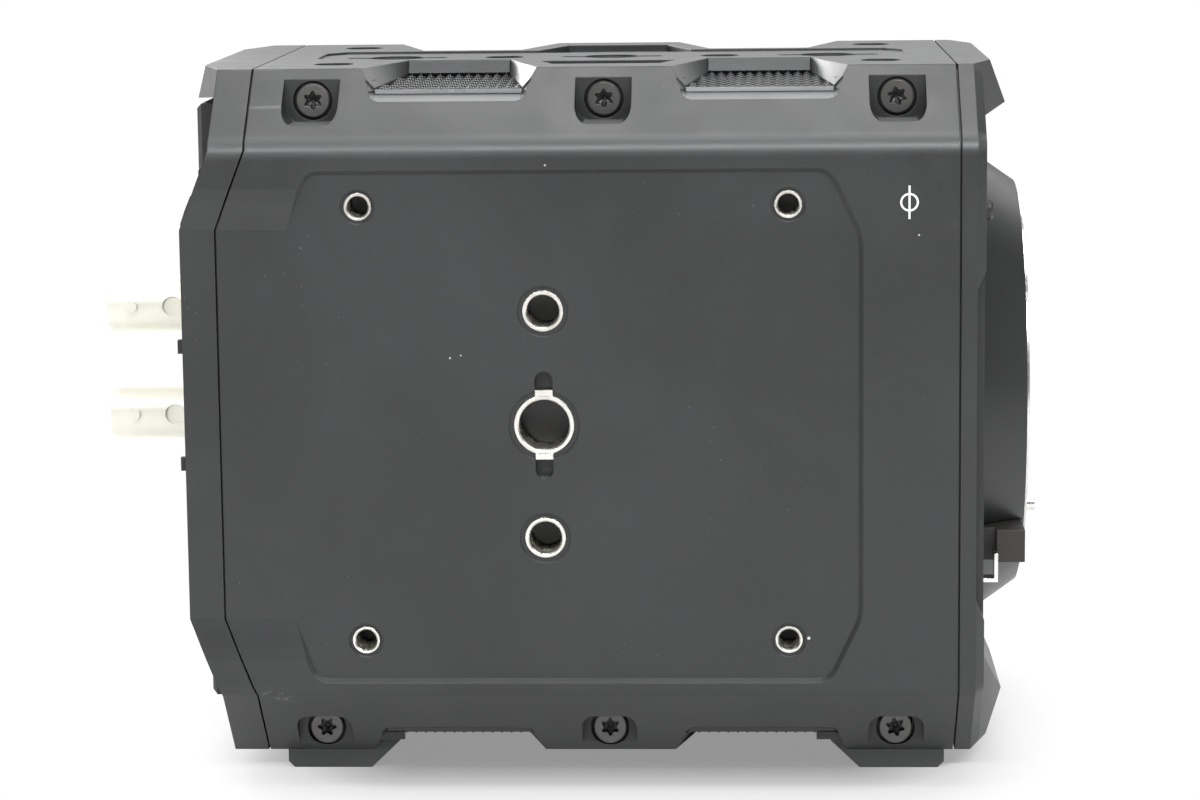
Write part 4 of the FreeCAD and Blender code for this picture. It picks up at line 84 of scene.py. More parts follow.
class Graph:
    """A material's node tree with short ways to add and join nodes.

    Bevels and bumps are given in millimetres. Noise scales and remapped places are in metres.
    """

    def __init__(self, name):
        self.material = bpy.data.materials.new(name)
        self.material.use_nodes = True
        self.tree = self.material.node_tree
        self.tree.nodes.clear()
        self.output = self.add("ShaderNodeOutputMaterial")
        self.place = self.add("ShaderNodeTexCoord").outputs["Object"]

    def add(self, kind, values=None, **settings):
        return add_node(self.tree, kind, values, **settings)

    def noise(self, scale, detail=2.0, rough=0.5, stretch=None, distortion=0.0):
        place = self.place
        if stretch:
            place = self.add("ShaderNodeMapping", {"Vector": place, "Scale": stretch}).outputs["Vector"]
        return self.add("ShaderNodeTexNoise", {
            "Vector": place, "Scale": scale, "Detail": detail, "Roughness": rough,
            "Distortion": distortion}).outputs["Fac"]

    def remap(self, value, source, target=(0.0, 1.0), smooth=False):
        """Value taken from the source range to the target range, and held at its ends."""
        return self.add("ShaderNodeMapRange", {
            "Value": value, "From Min": source[0], "From Max": source[1],
            "To Min": target[0], "To Max": target[1]},
            interpolation_type="SMOOTHSTEP" if smooth else "LINEAR").outputs["Result"]

    def math(self, operation, a, b=0.0, clamp=False):
        return self.add("ShaderNodeMath", {0: a, 1: b}, operation=operation, use_clamp=clamp).outputs[0]

    def times(self, a, b):
        return self.math("MULTIPLY", a, b)

    def mix(self, factor, a, b):
        values = {MIX_FACTOR: factor, MIX_A: a, MIX_B: b}
        return self.add("ShaderNodeMix", values, data_type="RGBA").outputs[MIX_RESULT]

    def split(self, vector):
        """The outputs X, Y and Z of a vector."""
        return self.add("ShaderNodeSeparateXYZ", {"Vector": vector}).outputs

    def true_normal(self):
        return self.add("ShaderNodeNewGeometry").outputs["Normal"]

    def bevel(self, radius):
        node = self.add("ShaderNodeBevel", {"Radius": radius * MM}, samples=BEVEL_SAMPLES)
        return node.outputs["Normal"]

    def edges(self, radius):
        """About 0 on flats and up to 1 along edges, from a rounded normal against the true one."""
        normals = {0: self.bevel(radius), 1: self.true_normal()}
        dot = self.add("ShaderNodeVectorMath", normals, operation="DOT_PRODUCT")
        return self.math("SUBTRACT", 1.0, dot.outputs["Value"], clamp=True)

    def bump(self, height, strength, distance, normal=None):
        values = {"Height": height, "Strength": strength, "Distance": distance * MM}
        if normal is not None:
            values["Normal"] = normal
        return self.add("ShaderNodeBump", values).outputs["Normal"]

    def surface(self, shader):
        self.tree.links.new(shader.outputs[0], self.output.inputs["Surface"])

    def finish(self, values):
        self.surface(self.add("ShaderNodeBsdfPrincipled", values))
        return self.material


def grey(level, tint=(1.0, 1.0, 1.0)):
    return (level * tint[0], level * tint[1], level * tint[2], 1.0)


def scaled(colour, factor, lift=0.0):
    """The colour made lighter or darker, at most 1 in each channel."""
    return tuple(min(channel * factor + lift, 1) for channel in colour[:3]) + (1.0,)


COOL = (0.97, 1.01, 1.03)
WARM = (1.15, 1.0, 0.92)
PALE = 0.75


def spots(g, places):
    """1 inside any of the small round places on the sides, 0 elsewhere."""
    core, rim = 0.6, 1.6
    total = None
    for x, z, radius in places:
        flat = g.add("ShaderNodeVectorMath", {0: g.place, 1: (1, 0, 1)}, operation="MULTIPLY")
        ends = {0: flat.outputs[0], 1: (x * MM, 0, z * MM)}
        gap = g.add("ShaderNodeVectorMath", ends, operation="DISTANCE")
        spot = g.remap(gap.outputs["Value"], (radius * MM * core, radius * MM * rim), (1.0, 0.0))
        total = spot if total is None else g.math("MAXIMUM", total, spot)
    return total


def mottled(g, level, tint, smudge, broad, cloud, fine):
    """The tone of paint: broad smudges, smaller pale clouds and fine grain."""
    tone = g.mix(g.remap(broad, (0.35, 0.68), smooth=True),
                 grey(level * (1 - smudge), tint), grey(level * (1 + smudge), tint))
    tone = g.mix(g.remap(cloud, (0.5, 0.75), (0.0, 0.35), smooth=True), tone, grey(level * 1.5, tint))
    return g.mix(g.remap(fine, (0.35, 0.7), (0.0, 0.4)), tone, grey(level * 1.7, tint))


def worn_edges(g, tone, level, tint, wear, edge):
    """Edges rubbed paler, more in some places than in others."""
    patchy = g.remap(g.noise(220, detail=3, rough=0.7), (0.42, 0.66), (0.15, 1.0))
    worn = g.times(g.remap(g.edges(edge), (0.02, 0.25), (0.0, wear)), patchy)
    return g.mix(worn, tone, grey(min(level * 3.5, 0.5), tint))


def dusted(g, tone):
    """Sparse pale grains, gathered in a few regions."""
    grains = g.remap(g.noise(1900, detail=1), (0.755, 0.80))
    regions = g.remap(g.noise(45), (0.55, 0.72), (0.0, 0.35))
    return g.mix(g.times(grains, regions), tone, grey(0.4))


def scratches(g):
    """Long faint marks across the surface, in a few regions."""
    lines = g.noise(700, detail=1, rough=0.4, stretch=(0.06, 1.0, 1.0), distortion=0.6)
    return g.times(g.remap(lines, (0.72, 0.745)), g.remap(g.noise(18, detail=1), (0.56, 0.66)))


def side_marks_and_highlights(g, tone):
    """Marks of the photographed side, specks and scuffs, and its painted highlights: the vent lip made pale
    where it faces up, and pale sheen along the upper edge of the side.
    """
    tone = g.mix(g.times(spots(g, SPECKS), 0.9), tone, grey(PALE))
    broken = g.remap(g.noise(1100, detail=3, rough=0.7), (0.56, 0.66), (0.0, 0.5))
    tone = g.mix(g.times(spots(g, SCUFFS), broken), tone, grey(0.35))

    where = g.split(g.place)
    across = g.math("ABSOLUTE", where["Y"])
    # Painted highlight: upward faces of the vent lips are made paler, as if lit from above
    upward = g.remap(g.split(g.true_normal())["Z"], (0.82, 0.93))
    lit_lips = g.remap(across, (36.4 * MM, 36.8 * MM), (0.0, 0.12))
    tone = g.mix(g.times(upward, lit_lips), tone, grey(PALE, COOL))

    # Painted highlight: a pale strip of sheen along the rounded edge between the side and the upper chamfer
    edge_z = 102.2
    from_edge = g.math("ABSOLUTE", g.math("SUBTRACT", where["Z"], edge_z * MM))
    highlight_band = g.remap(from_edge, (0.4 * MM, 2.2 * MM), (0.055, 0.0), smooth=True)
    outer = g.remap(across, (44.3 * MM, 45.5 * MM))
    return g.mix(g.times(highlight_band, outer), tone, grey(PALE, COOL))


def soft_shoulder(g, normal):
    """A bump that rounds the edge between the side and the upper chamfer."""
    bottom, top, proud = 100.2, 103.4, 0.40
    height = g.remap(g.split(g.place)["Z"], (bottom * MM, top * MM), (proud * MM, 0.0), smooth=True)
    return g.bump(height, strength=1.0, distance=METRE, normal=normal)


def satin(name, level, rough, grain=0.28, tint=COOL, smudge=0.2, wear=0.35, edge=0.22, metallic=0.0,
          marks=False):
    """A painted or anodised surface: fine grain, mottled handling marks and faintly worn edges."""
    g = Graph(name)
    broad = g.noise(24, detail=4, rough=0.55, distortion=0.6)
    cloud = g.noise(75, detail=3, rough=0.6, distortion=0.3)
    fine = g.noise(1.0 / (grain * MM), rough=0.6)
    scratch = scratches(g)
    tone = mottled(g, level, tint, smudge, broad, cloud, fine)
    tone = worn_edges(g, tone, level, tint, wear, edge)
    tone = dusted(g, tone)
    # With marks, the side also gets painted highlights on its vent lips and its upper edge
    if marks:
        tone = side_marks_and_highlights(g, tone)
    roughness = g.math("ADD", g.remap(broad, (0.3, 0.7), (rough - 0.05, rough + 0.07)),
                       g.times(scratch, -0.12), clamp=True)
    roughness = g.math("ADD", roughness, g.remap(cloud, (0.35, 0.7), (-0.02, 0.05)), clamp=True)
    normal = g.bump(fine, strength=0.12, distance=0.03, normal=g.bevel(edge))
    normal = g.bump(scratch, strength=0.12, distance=-0.01, normal=normal)
    if marks:
        normal = soft_shoulder(g, normal)
    return g.finish({"Base Color": tone, "Roughness": roughness, "Normal": normal,
                     "Metallic": metallic, "Specular IOR Level": 0.5})


def metal(name, colour, rough, stretch=(1, 1, 1)):
    """Bare metal with faint tool marks and a little tarnish; stretch draws the marks out."""
    g = Graph(name)
    blotch = g.noise(160, detail=3, rough=0.6)
    tone = g.mix(g.remap(blotch, (0.4, 0.75), (0.0, 0.8), smooth=True), colour, scaled(colour, 0.76))
    tool_marks = g.noise(900, stretch=stretch)
    roughness = g.math("ADD", g.remap(tool_marks, (0.3, 0.7), (rough - 0.04, rough + 0.06)),
                       g.remap(blotch, (0.4, 0.8), (0.0, 0.08)), clamp=True)
    normal = g.bump(tool_marks, strength=0.08, distance=0.02, normal=g.bevel(0.12))
    return g.finish({"Base Color": tone, "Roughness": roughness, "Normal": normal, "Metallic": 1.0})


def pale_metal(name, colour, rough):
    """Bright plated metal, softly lit all round."""
    g = Graph(name)
    stain = g.remap(g.noise(160, detail=3, rough=0.6), (0.45, 0.75), (0.0, 0.25), smooth=True)
    tone = g.mix(stain, colour, scaled(colour, 0.9))
    return g.finish({"Base Color": tone, "Roughness": rough, "Metallic": 0.35, "Normal": g.bevel(0.12)})


def plastic(name, colour, rough, strength=0.15):
    """Moulded plastic or rubber with a fine spark-eroded texture."""
    grain, edge = 0.35, 0.25
    g = Graph(name)
    broad = g.noise(45)
    light = scaled(colour, 1.35, lift=0.004)
    tone = g.mix(g.remap(broad, (0.4, 0.7), (0.0, 0.6), smooth=True), colour, light)
    tone = g.mix(g.remap(g.edges(edge), (0.03, 0.3), (0.0, 0.35)), tone, light)
    pits = g.noise(1.0 / (grain * MM), rough=0.7)
    return g.finish({"Base Color": tone,
                     "Roughness": g.remap(broad, (0.3, 0.7), (rough - 0.04, rough + 0.06)),
                     "Normal": g.bump(pits, strength, distance=0.04, normal=g.bevel(edge))})


def glass_like(name, colour, rough, transmission):
    """Glass, clear or dark, with a faint smear and a thin coat."""
    g = Graph(name)
    smear = g.noise(70, detail=3, rough=0.6, distortion=1.5)
    return g.finish({"Base Color": colour, "Roughness": g.remap(smear, (0.5, 0.75), (rough, rough + 0.12)),
                     "Transmission Weight": transmission, "IOR": 1.5,
                     "Normal": g.bevel(0.2), "Coat Weight": 0.4, "Coat Roughness": 0.03})


def perforated(name, level):
    """Corrugated sheet with staggered rows of short slots, not cut but painted near black: painted shade of
    the space behind them.
    """
    pitch_x, pitch_y = 0.5167, 3.4
    half_x, half_y = 0.19, 0.85
    g = Graph(name)
    where = g.split(g.place)
    along = g.math("DIVIDE", where["X"], pitch_x * MM)
    across = g.math("DIVIDE", where["Y"], pitch_y * MM)

    def squared_reach(value, shift, pitch, half):
        """How far from the nearest slot's middle, squared, where 1 is the slot's rim."""
        off = g.math("SUBTRACT", g.math("FRACT", g.math("ADD", value, shift)), 0.5)
        return g.times(g.times(off, off), (pitch / half) ** 2)

    def slots(shift):
        reach = g.math("ADD", squared_reach(along, shift, pitch_x, half_x),
                       squared_reach(across, shift, pitch_y, half_y))
        return g.remap(reach, (0.8, 1.1), (1.0, 0.0))

    facing_up = g.math("ABSOLUTE", g.split(g.true_normal())["Z"])
    # Painted shade: the slots are near-black, barely glossy patches in place of openings
    hole = g.times(g.math("MAXIMUM", slots(0.0), slots(0.5)), g.remap(facing_up, (0.3, 0.5)))
    sheet = g.mix(g.noise(300), grey(level, COOL), grey(level * 1.3, COOL))
    return g.finish({
        "Base Color": g.mix(hole, sheet, grey(0.001)),
        "Roughness": g.remap(hole, (0.0, 1.0), (0.34, 0.9)),
        "Specular IOR Level": g.remap(hole, (0.0, 1.0), (0.5, 0.05)),
        "Normal": g.bump(g.noise(2500, detail=1), strength=0.1, distance=0.02)})


def board_material():
    """Circuit board: dark green with raised tracks."""
    g = Graph("circuit_board")
    tracks = g.remap(g.noise(900, detail=1, rough=0.3, stretch=(1, 0.2, 0.2)), (0.5, 0.53))
    tone = g.mix(tracks, (0.01, 0.06, 0.03, 1), (0.03, 0.14, 0.06, 1))
    return g.finish({"Base Color": tone, "Roughness": 0.35,
                     "Normal": g.bump(tracks, strength=0.2, distance=0.03)})


def sensor_material():
    """Image sensor: deep violet with a glossy cover."""
    g = Graph("sensor_face")
    tone = g.mix(g.noise(25, detail=1), (0.02, 0.01, 0.05, 1), (0.01, 0.03, 0.04, 1))
    return g.finish({"Base Color": tone, "Roughness": 0.12, "Coat Weight": 0.6,
                     "Coat Roughness": 0.02, "Normal": g.bevel(0.15)})


# The body paint carries the side's marks and its painted highlights
body_paint = satin("body_paint", level=0.020, rough=0.39, marks=True)
plate_paint = satin("plate_paint", level=0.028, rough=0.40)
turret_paint = satin("turret_paint", level=0.014, rough=0.40, grain=0.2, smudge=0.1)
release_paint = satin("release_paint", level=0.016, rough=0.45, tint=WARM, smudge=0.1)
# A dark copy of the insert metal for the plates' bushes: painted shade over steel that the side bushes show
# bright
shaded_insert_dark = metal("shaded_insert_dark", (0.05, 0.05, 0.05, 1), rough=0.5)
rear_plastic = plastic("rear_plastic", grey(0.018), rough=0.48)
black_plastic = plastic("black_plastic", grey(0.020), rough=0.42)
key_rubber = plastic("key_rubber", grey(0.030), rough=0.62, strength=0.22)
foot_rubber = plastic("foot_rubber", grey(0.034, COOL), rough=0.52, strength=0.1)
record_red = plastic("record_red", (0.25, 0.012, 0.010, 1), rough=0.35, strength=0.05)
screw_black = satin("screw_black", level=0.10, rough=0.34, grain=0.15, tint=(1.03, 1.0, 0.98),
                    wear=0.6, edge=0.1, metallic=0.7)
# A much darker copy of the screw finish for the star sockets: painted shade inside the recess
shaded_socket_black = satin("shaded_socket_black", level=0.012, rough=0.30, grain=0.15, wear=0.0, edge=0.08, metallic=0.2)
rail_metal = satin("rail_metal", level=0.16, rough=0.30, grain=0.15, wear=0.2)
# A lighter copy of the paint for the vents' back slopes: painted light on walls that catch the light
lit_slope_paint = satin("lit_slope_paint", level=0.055, rough=0.40)
insert_steel = metal("insert_steel", (0.80, 0.78, 0.73, 1), rough=0.26)
flange_steel = metal("flange_steel", (0.66, 0.66, 0.65, 1), rough=0.22, stretch=(0.1, 1, 1))
bright_steel = metal("bright_steel", (0.72, 0.72, 0.71, 1), rough=0.18)
nickel = pale_metal("nickel", (0.86, 0.845, 0.75, 1), rough=0.45)
gold = metal("gold_plate", (0.85, 0.60, 0.24, 1), rough=0.2)
white_plastic = plastic("white_plastic", grey(0.72), rough=0.4)
chassis_metal = metal("chassis_metal", (0.62, 0.63, 0.64, 1), rough=0.36)
sink_metal = satin("sink_metal", level=0.09, rough=0.38, metallic=0.5)
board_green = board_material()
sensor_face = sensor_material()
clear_glass = glass_like("clear_glass", (0.92, 0.96, 0.97, 1), rough=0.02, transmission=0.95)
display_glass = glass_like("display_glass", (0.012, 0.012, 0.014, 1), rough=0.06, transmission=0.0)
grille_black = perforated("grille_black", level=0.13)
grille_dark = perforated("grille_dark", level=0.03)

FINISHES = {
    body_paint: ["right_side_cover", "left_side_cover", "bottom_plate", "front_cover", "rear_cover",
                 "media_door"],
    plate_paint: ["top_plate"],
    turret_paint: ["lens_turret"],
    release_paint: ["lens_release_button"],
    rear_plastic: ["rear_panel"],
    black_plastic: ["contact_block", "sensor_frame", "fan_housing", "fan_rotor", "front_record_button",
                    "battery_bay", "battery_latch", "headphone_sockets", "display_frame",
                    "display_module", "power_switch", "card_slots"],
    key_rubber: [f"function_key_{number}" for number in range(1, 6)],
    foot_rubber: ["feet"],
    record_red: ["side_record_button"],
    screw_black: ["flange_screws", "cover_screws"],
    insert_steel: ["side_m4_inserts", "side_quarter_inserts", "side_three_eighths_insert",
                   "plate_quarter_inserts", "plate_three_eighths_inserts"],
    flange_steel: ["bayonet_flange"],
    bright_steel: ["sheet_metal_lug", "lens_lock_pin", "door_pin"],
    nickel: ["video_jack_shells", "power_socket", "audio_socket", "network_socket", "data_socket"],
    gold: ["lens_contacts", "battery_contacts", "video_jack_pins", "socket_pins"],
    white_plastic: ["video_jack_liners"],
    chassis_metal: ["chassis"],
    sink_metal: ["heat_sink"],
    board_green: ["sensor_board", "main_board"],
    sensor_face: ["image_sensor"],
    clear_glass: ["sensor_glass"],
    display_glass: ["display_glass"],
    grille_black: ["top_vent_grilles"],
    grille_dark: ["bottom_vent_grilles"],
}
for material, names in FINISHES.items():
    for name in names:
        mesh = nodes[name].data
        mesh.materials.clear()
        mesh.materials.append(material)


# Pieces made as meshes

def make(name, points, faces, material, slot, smooth=None):
    """A mesh piece from points in millimetres; smooth is the largest angle that isn't kept sharp."""
    mesh = bpy.data.meshes.new(name)
    mesh.from_pydata([tuple(value * MM for value in point) for point in points], [], faces)
    mesh.validate()
    mesh.materials.append(material)
    thing = bpy.data.objects.new(name, mesh)
    scene.collection.objects.link(thing)
    if smooth is not None:
        mesh.shade_smooth()
        mesh.set_sharp_from_angle(angle=math.radians(smooth))
    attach(thing, "camera")
    return thing


def lathe(rings, count, place, closed_end=True):
    """Rings of (radius, depth) joined by quads; a radius may be a function of the angle.

    Place turns two offsets across the axis and a depth into a point.
    """
    points = []
    for radius, depth in rings:
        for step in range(count):
            angle = 2 * math.pi * step / count
            r = radius(angle) if callable(radius) else radius
            points.append(place(r * math.cos(angle), r * math.sin(angle), depth))
    faces = []
    for ring in range(len(rings) - 1):
        a, b = ring * count, (ring + 1) * count
        for step in range(count):
            after = (step + 1) % count
            faces.append((a + step, a + after, b + after, b + step))
    if closed_end:
        last = (len(rings) - 1) * count
        faces.append(tuple(range(last, last + count)))
    return points, faces


def join(parts):
    """Several (points, faces) as one."""
    points, faces = [], []
    for more_points, more_faces in parts:
        shift = len(points)
        points += more_points
        faces += [tuple(index + shift for index in face) for face in more_faces]
    return points, faces


# Cover screws with star sockets, in radii and depths below the face of the head

SCREW_STEPS = 72
STAR_INNER, STAR_LOBE, STAR_POWER = 0.98, 0.52, 1.2
SOCKET_LIP = 0.08
# From the underside over the rim to the face
HEAD_RINGS = [(2.2, 1.45), (2.8, 1.45), (2.8, 0.34), (2.62, 0.10), (2.5, 0.0), (2.1, 0.0)]
# Each screw stopped at its own angle, in radians
SCREW_TURNS = [0.52, 0.48, 0.30, 0.0, 0.5, 0.3, 0.2, 0.7, 1.0, 0.4, 0.1, 0.6]


def star_radius(angle):
    lobe = 0.5 + 0.5 * math.cos(6 * angle)
    return STAR_INNER + STAR_LOBE * lobe ** STAR_POWER


def star(turn, grow=0.0, scale=1.0):
    """The six-lobed outline as a function of the angle."""
    return lambda angle: star_radius(angle + turn) * scale + grow


def screw_place(x, z, side):
    return lambda a, b, depth: (x + a, side * (SCREW_Y - depth), z + b)


def screw_head(x, z, side, turn):
    rings = HEAD_RINGS + [(star(turn, grow=0.08), 0.0), (star(turn), SOCKET_LIP)]
    return lathe(rings, SCREW_STEPS, screw_place(x, z, side), closed_end=False)


def screw_socket(x, z, side, turn):
    rings = [(star(turn), SOCKET_LIP), (star(turn, grow=-0.05), 1.0), (star(turn, scale=0.5), 1.1),
             (0.2, 1.35)]
    return lathe(rings, SCREW_STEPS, screw_place(x, z, side))


screw_spots = [(x, z, side) for side in (-1, 1) for z in SCREW_ZS for x in SCREW_XS]
heads = [screw_head(*spot, turn) for spot, turn in zip(screw_spots, SCREW_TURNS)]
screws = make("cover_star_screws", *join(heads), screw_black, "screw_black", smooth=25)
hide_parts("cover_screws")
# The socket walls take the darker finish, which is painted shade in the recess
sockets = [screw_socket(*spot, turn) for spot, turn in zip(screw_spots, SCREW_TURNS)]
make("cover_star_sockets", *join(sockets), shaded_socket_black, "screw_black", smooth=25)


# Sloping strips in the top vents: behind each grille and along its outer end

def strip(x, side, low_half, high_half, low, high):
    """A thin three-sided bar; low and high are (distance from the middle plane, height)."""
    (y0, z0), (y1, z1) = low, high
    points = []
    for end in (-1, 1):
        points += [(x + end * low_half, side * y0, z0), (x + end * high_half, side * y1, z1),
                   (x + end * high_half, side * y1, z0)]
    return points, [(0, 1, 2), (5, 4, 3), (0, 3, 4, 1), (1, 4, 5, 2), (2, 5, 3, 0)]


def strips(low_half, high_half, low, high):
    """One such bar in each of the four top vents."""
    return join([strip(x, side, low_half, high_half, low, high) for side in (-1, 1) for x in VENT_XS])


# The back slopes take the lighter paint, which is painted light
backs = strips(8.3, 8.3, low=(15.3, TOP_Z - 2.05), high=(14.02, TOP_Z - 0.05))
make("vent_back_slopes", *backs, lit_slope_paint, "plate_paint")
fronts = strips(11.55, 11.6, low=(37.25, TOP_Z - 3.9), high=(36.72, TOP_Z - 3.2))
make("grille_rails", *fronts, rail_metal, "grille_black")


# Short bars that close the notch between the tips of the feet and the bottom plate

def foot_root_bar(x, side):
    half = 2.6
    xs = (x - half, x + half)
    ys = sorted((side * 36.4, side * 36.9))
    zs = (5.2, 6.5)
    points = [(x, y, z) for x in xs for y in ys for z in zs]
    return points, [(0, 1, 3, 2), (4, 6, 7, 5), (0, 4, 5, 1), (2, 3, 7, 6), (0, 2, 6, 4), (1, 5, 7, 3)]


closers = [foot_root_bar(x, side) for side in (-1, 1) for x in FOOT_TIP_XS]
make("foot_root_bars", *join(closers), foot_rubber, "foot_rubber")


# Thread inserts: (bore radius, shell radius, thread pitch) and where they are

M4 = (1.65, 2.25, 0.7)
QUARTER = (2.55, 3.3, 1.27)
LARGE = (3.97, 4.8, 1.5875)
INSERT_LONG = 7.6
INSERT_SUNK = 0.3
FLOOR_DEPTH = 8.0
RINGS_PER_TURN = 10
BUSH_STEPS = 48
FLOOR_STEPS = 32
M4_X, M4_HALF_X, M4_HALF_Z = 4.8, 33.5, 34.5
CORNER_HALF_X, CORNER_HALF_Y = 44, 23
HOLE_GAP = 18
SIDE_FACE = RECESS_Y - INSERT_SUNK


def threaded_bush(place, bore, shell, pitch):
    """A thread insert: a broad bright rim and a real helix down the bore."""
    start, run_in = 0.25, 0.8 * pitch
    groove = 0.24 * pitch
    steps = int(INSERT_LONG / pitch * RINGS_PER_TURN)
    rings = [(shell - 0.02, INSERT_LONG), (shell - 0.02, 0.12), (shell - 0.12, 0.0),
             (bore + 0.22, 0.0), (bore, 0.2)]
    for step in range(steps + 1):
        depth = start + (INSERT_LONG - start) * step / steps

        def radius(angle, depth=depth):
            phase = (depth / pitch - angle / (2 * math.pi)) % 1.0
            return bore + groove * abs(2 * phase - 1) * min(1.0, (depth - start) / run_in)

        rings.append((radius, depth))
    return lathe(rings, BUSH_STEPS, place, closed_end=False)


def drilled_bottom(place, radius):
    """The dark floor of a blind hole with its drill point."""
    rings = [(radius, FLOOR_DEPTH), (radius * 0.55, FLOOR_DEPTH + 0.12),
             (radius * 0.12, FLOOR_DEPTH + 0.22)]
    return lathe(rings, FLOOR_STEPS, place)


def bushes(name, slot, replaced, places, size, finish, extra=()):
    """Threaded bushes of one size in place of CAD inserts, with floors in their holes."""
    points, faces = join([threaded_bush(place, *size) for place in places] + list(extra))
    made = make(name, points, faces, finish, slot, smooth=40)
    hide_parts(*replaced)
    floors = join([drilled_bottom(place, size[0]) for place in places])
    make(name + "_floors", *floors, black_plastic, "black_plastic", smooth=40)


def ear(x, z, up):
    """One ear of the large side insert, seated in the slot beside it."""
    low, high, wide, thick = 4.5, 5.5, 1.38, 1.0
    points = [(x + a, b - SIDE_FACE, z + up * c)
              for c in (low, high) for b in (0, thick) for a in (-wide, wide)]
    return points, [(0, 1, 3, 2), (4, 5, 7, 6), (0, 1, 5, 4), (2, 3, 7, 6), (0, 2, 6, 4), (1, 3, 7, 5)]


def into_side(x, z):
    return lambda a, b, depth: (x + a, depth - SIDE_FACE, z + b)


def into_plate(x, y, top, sunk=0.4):
    """Into the top plate, or up into the bottom plate; sunk is the depth of the panel around it."""
    level = TOP_Z - INSERT_SUNK - sunk if top else BOTTOM_Z + INSERT_SUNK + sunk
    sign = -1 if top else 1
    return lambda a, b, depth: (x + a, y + b, level + sign * depth)


bushes("side_m4_bushes", "insert_steel", ["side_m4_inserts"],
       [into_side(M4_X + a * M4_HALF_X, LENS_Z + b * M4_HALF_Z) for a in (-1, 1) for b in (-1, 1)],
       M4, insert_steel)
bushes("side_quarter_bushes", "insert_steel", ["side_quarter_inserts"],
       [into_side(0, LENS_Z + a * HOLE_GAP) for a in (-1, 1)], QUARTER, insert_steel)
bushes("side_large_bush", "insert_steel", ["side_three_eighths_insert"],
       [into_side(0, LENS_Z)], LARGE, insert_steel, [ear(0, LENS_Z, 1), ear(0, LENS_Z, -1)])
corners = [into_plate(PLATE_X + a * CORNER_HALF_X, b * CORNER_HALF_Y, True, 0)
           for a in (-1, 1) for b in (-1, 1)]
pairs = [into_plate(PLATE_X + a * HOLE_GAP, 0, top) for a in (-1, 1) for top in (True, False)]
# The plates' bushes take the dark copy of the insert metal, which is painted shade
bushes("plate_quarter_bushes", "insert_steel", ["plate_quarter_inserts"], corners + pairs,
       QUARTER, shaded_insert_dark)
in_a_row = [into_plate(PLATE_X + a * 2 * HOLE_GAP, 0, True) for a in (-1, 0, 1)]
bushes("plate_large_bushes", "insert_steel", ["plate_three_eighths_inserts"],
       in_a_row + [into_plate(PLATE_X, 0, False)], LARGE, shaded_insert_dark)


# Film plane mark: a ring with an upright through it, printed on the right side

def film_mark():
    wide, radius, tall, proud, lap = 0.32, 1.28, 2.6, 0.03, 0.005
    middle = LENS_Z + 34.8
    y = -(SIDE_Y + proud)
    count = 48
    points, faces = [], []
    for r in (radius - wide / 2, radius + wide / 2):
        for step in range(count):
            angle = 2 * math.pi * step / count
            points.append((FILM_X + r * math.cos(angle), y, middle + r * math.sin(angle)))
    for step in range(count):
        after = (step + 1) % count
        faces.append((step, after, count + after, count + step))
    base = len(points)
    for x, z in ((-wide / 2, -tall), (wide / 2, -tall), (wide / 2, tall), (-wide / 2, tall)):
        points.append((FILM_X + x, y - lap, middle + z))
    faces.append((base, base + 1, base + 2, base + 3))
    g = Graph("mark_print")
    worn = g.remap(g.noise(900), (0.3, 0.5), (0.6, 0.8))
    print_white = g.finish({"Base Color": g.mix(worn, grey(0.5), grey(0.85)), "Roughness": 0.5})
    make("film_plane_mark", points, faces, print_white, "white_plastic")


film_mark()


# Floor, light and camera, in metres

def floor():
    """A white table: true light and shadow, lifted towards white for the camera alone; to the camera it
    also shows a painted shadow, dark close around the body and paler further out.
    """
    size = 4.0
    middle_x, half_x, half_y = 0.012, 0.034, 0.030
    mesh = bpy.data.meshes.new("floor")
    mesh.from_pydata([(-size, -size, 0), (size, -size, 0), (size, size, 0), (-size, size, 0)], [],
                     [(0, 1, 2, 3)])
    thing = bpy.data.objects.new("floor", mesh)
    scene.collection.objects.link(thing)
    g = Graph("floor_white")
    where = g.split(g.place)
    past_x = g.math("SUBTRACT", g.math("ABSOLUTE", g.math("SUBTRACT", where["X"], middle_x)), half_x)
    past_y = g.math("SUBTRACT", g.math("ABSOLUTE", where["Y"]), half_y)
    past_x = g.math("MAXIMUM", past_x, 0.0)
    past_y = g.math("MAXIMUM", past_y, 0.0)
    gap = g.math("SQRT", g.math("ADD", g.times(past_x, past_x), g.times(past_y, past_y)))
    seen = g.add("ShaderNodeLightPath").outputs["Is Camera Ray"]
    # Painted shadow: to the camera the table is darker close around the body
    painted_shadow_tone = g.mix(g.remap(gap, (0.004, 0.020)), grey(0.06), grey(0.72))
    tone = g.mix(seen, grey(0.91), painted_shadow_tone)
    table = g.add("ShaderNodeBsdfPrincipled", {"Base Color": tone, "Roughness": 0.5})
    glow = g.add("ShaderNodeEmission", {"Color": grey(1.0), "Strength": 1.02})
    # The camera-only glow is weaker close around the body, which deepens the painted shadow there
    lift = g.remap(gap, (0.012, 0.050), (0.29, 1.0), smooth=True)
    both = {0: g.times(seen, lift), 1: table.outputs[0], 2: glow.outputs[0]}
    g.surface(g.add("ShaderNodeMixShader", both))
    mesh.materials.append(g.material)


floor()


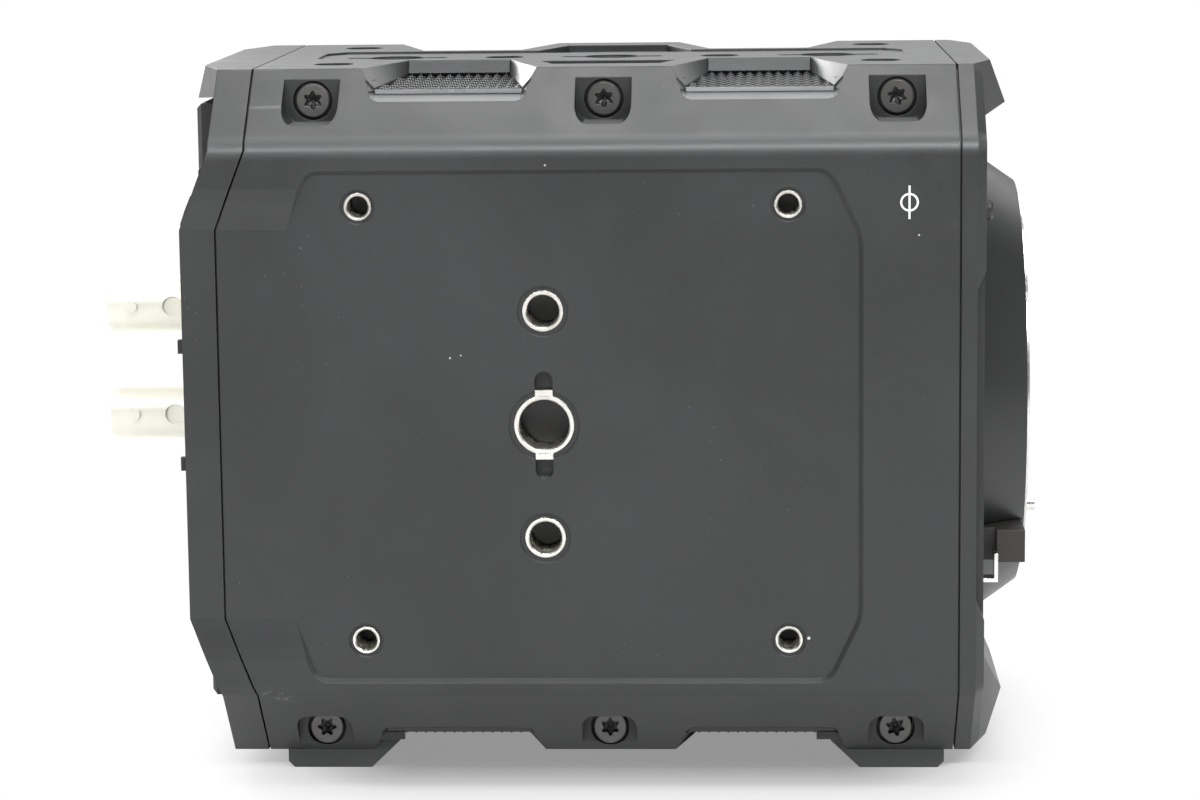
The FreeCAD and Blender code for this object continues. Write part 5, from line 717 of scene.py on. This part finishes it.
def studio():
    """The world: dim all round, a little brighter near the floor, white to the camera."""
    world = bpy.data.worlds.new("studio")
    scene.world = world
    world.use_nodes = True
    tree = world.node_tree
    tree.nodes.clear()
    toward = add_node(tree, "ShaderNodeTexCoord").outputs["Generated"]
    upward = add_node(tree, "ShaderNodeSeparateXYZ", {"Vector": toward}).outputs["Z"]
    dim = add_node(tree, "ShaderNodeMapRange", {
        "Value": upward, "From Min": 0.0, "From Max": 0.6, "To Min": 0.34, "To Max": 0.20})
    soft = add_node(tree, "ShaderNodeBackground", {
        "Color": (0.98, 0.99, 1.0, 1), "Strength": dim.outputs[0]})
    plain = add_node(tree, "ShaderNodeBackground", {"Color": (1, 1, 1, 1), "Strength": 1.05})
    seen = add_node(tree, "ShaderNodeLightPath").outputs["Is Camera Ray"]
    chosen = add_node(tree, "ShaderNodeMixShader", {0: seen, 1: soft.outputs[0], 2: plain.outputs[0]})
    add_node(tree, "ShaderNodeOutputWorld", {"Surface": chosen.outputs[0]})


studio()


def area(name, place, target, wide, tall, power):
    """A rectangular lamp at place, aimed at target."""
    light = bpy.data.lights.new(name, "AREA")
    light.shape = "RECTANGLE"
    light.size = wide
    light.size_y = tall
    light.energy = power
    thing = bpy.data.objects.new(name, light)
    scene.collection.objects.link(thing)
    thing.location = place
    away = Vector(target) - Vector(place)
    thing.rotation_euler = away.to_track_quat("-Z", "Y").to_euler()


area("strip", (0.15, -0.72, 0.72), (0.0, -0.04, 0.10), wide=1.3, tall=0.12, power=12.3)
area("back_light", (0.0, 0.65, 0.60), (0.0, 0.0, 0.10), wide=1.3, tall=0.5, power=5.9)
area("left_light", (-0.80, 0.45, 0.26), (-0.05, 0.0, 0.10), wide=0.6, tall=0.35, power=3.5)
area("rear_light", (-0.38, 0.90, 0.25), (-0.06, 0.0, 0.11), wide=0.30, tall=0.2, power=2.0)
area("top_light", (0.0, 0.0, 1.1), (0.0, 0.0, 0.1), wide=0.5, tall=0.5, power=5.8)

# The photograph's camera, fitted to its straight edges and rows of holes
camera = bpy.data.cameras.new("view")
camera.sensor_width = 36.0
camera.lens = 105.787
camera.clip_start = 0.01
viewer = bpy.data.objects.new("view", camera)
scene.collection.objects.link(viewer)
right = Vector((0.99910365, 0.04101863, -0.0104578))
up = Vector((0.00400338, 0.15438232, 0.98800307))
back = Vector((0.04214103, -0.98715934, 0.15407972))
turned = Matrix((right, up, back)).transposed().to_4x4()
turned.translation = Vector((32.081, -591.459, 147.298)) * MM
viewer.matrix_world = turned
scene.camera = viewer
scene.view_settings.view_transform = "Standard"
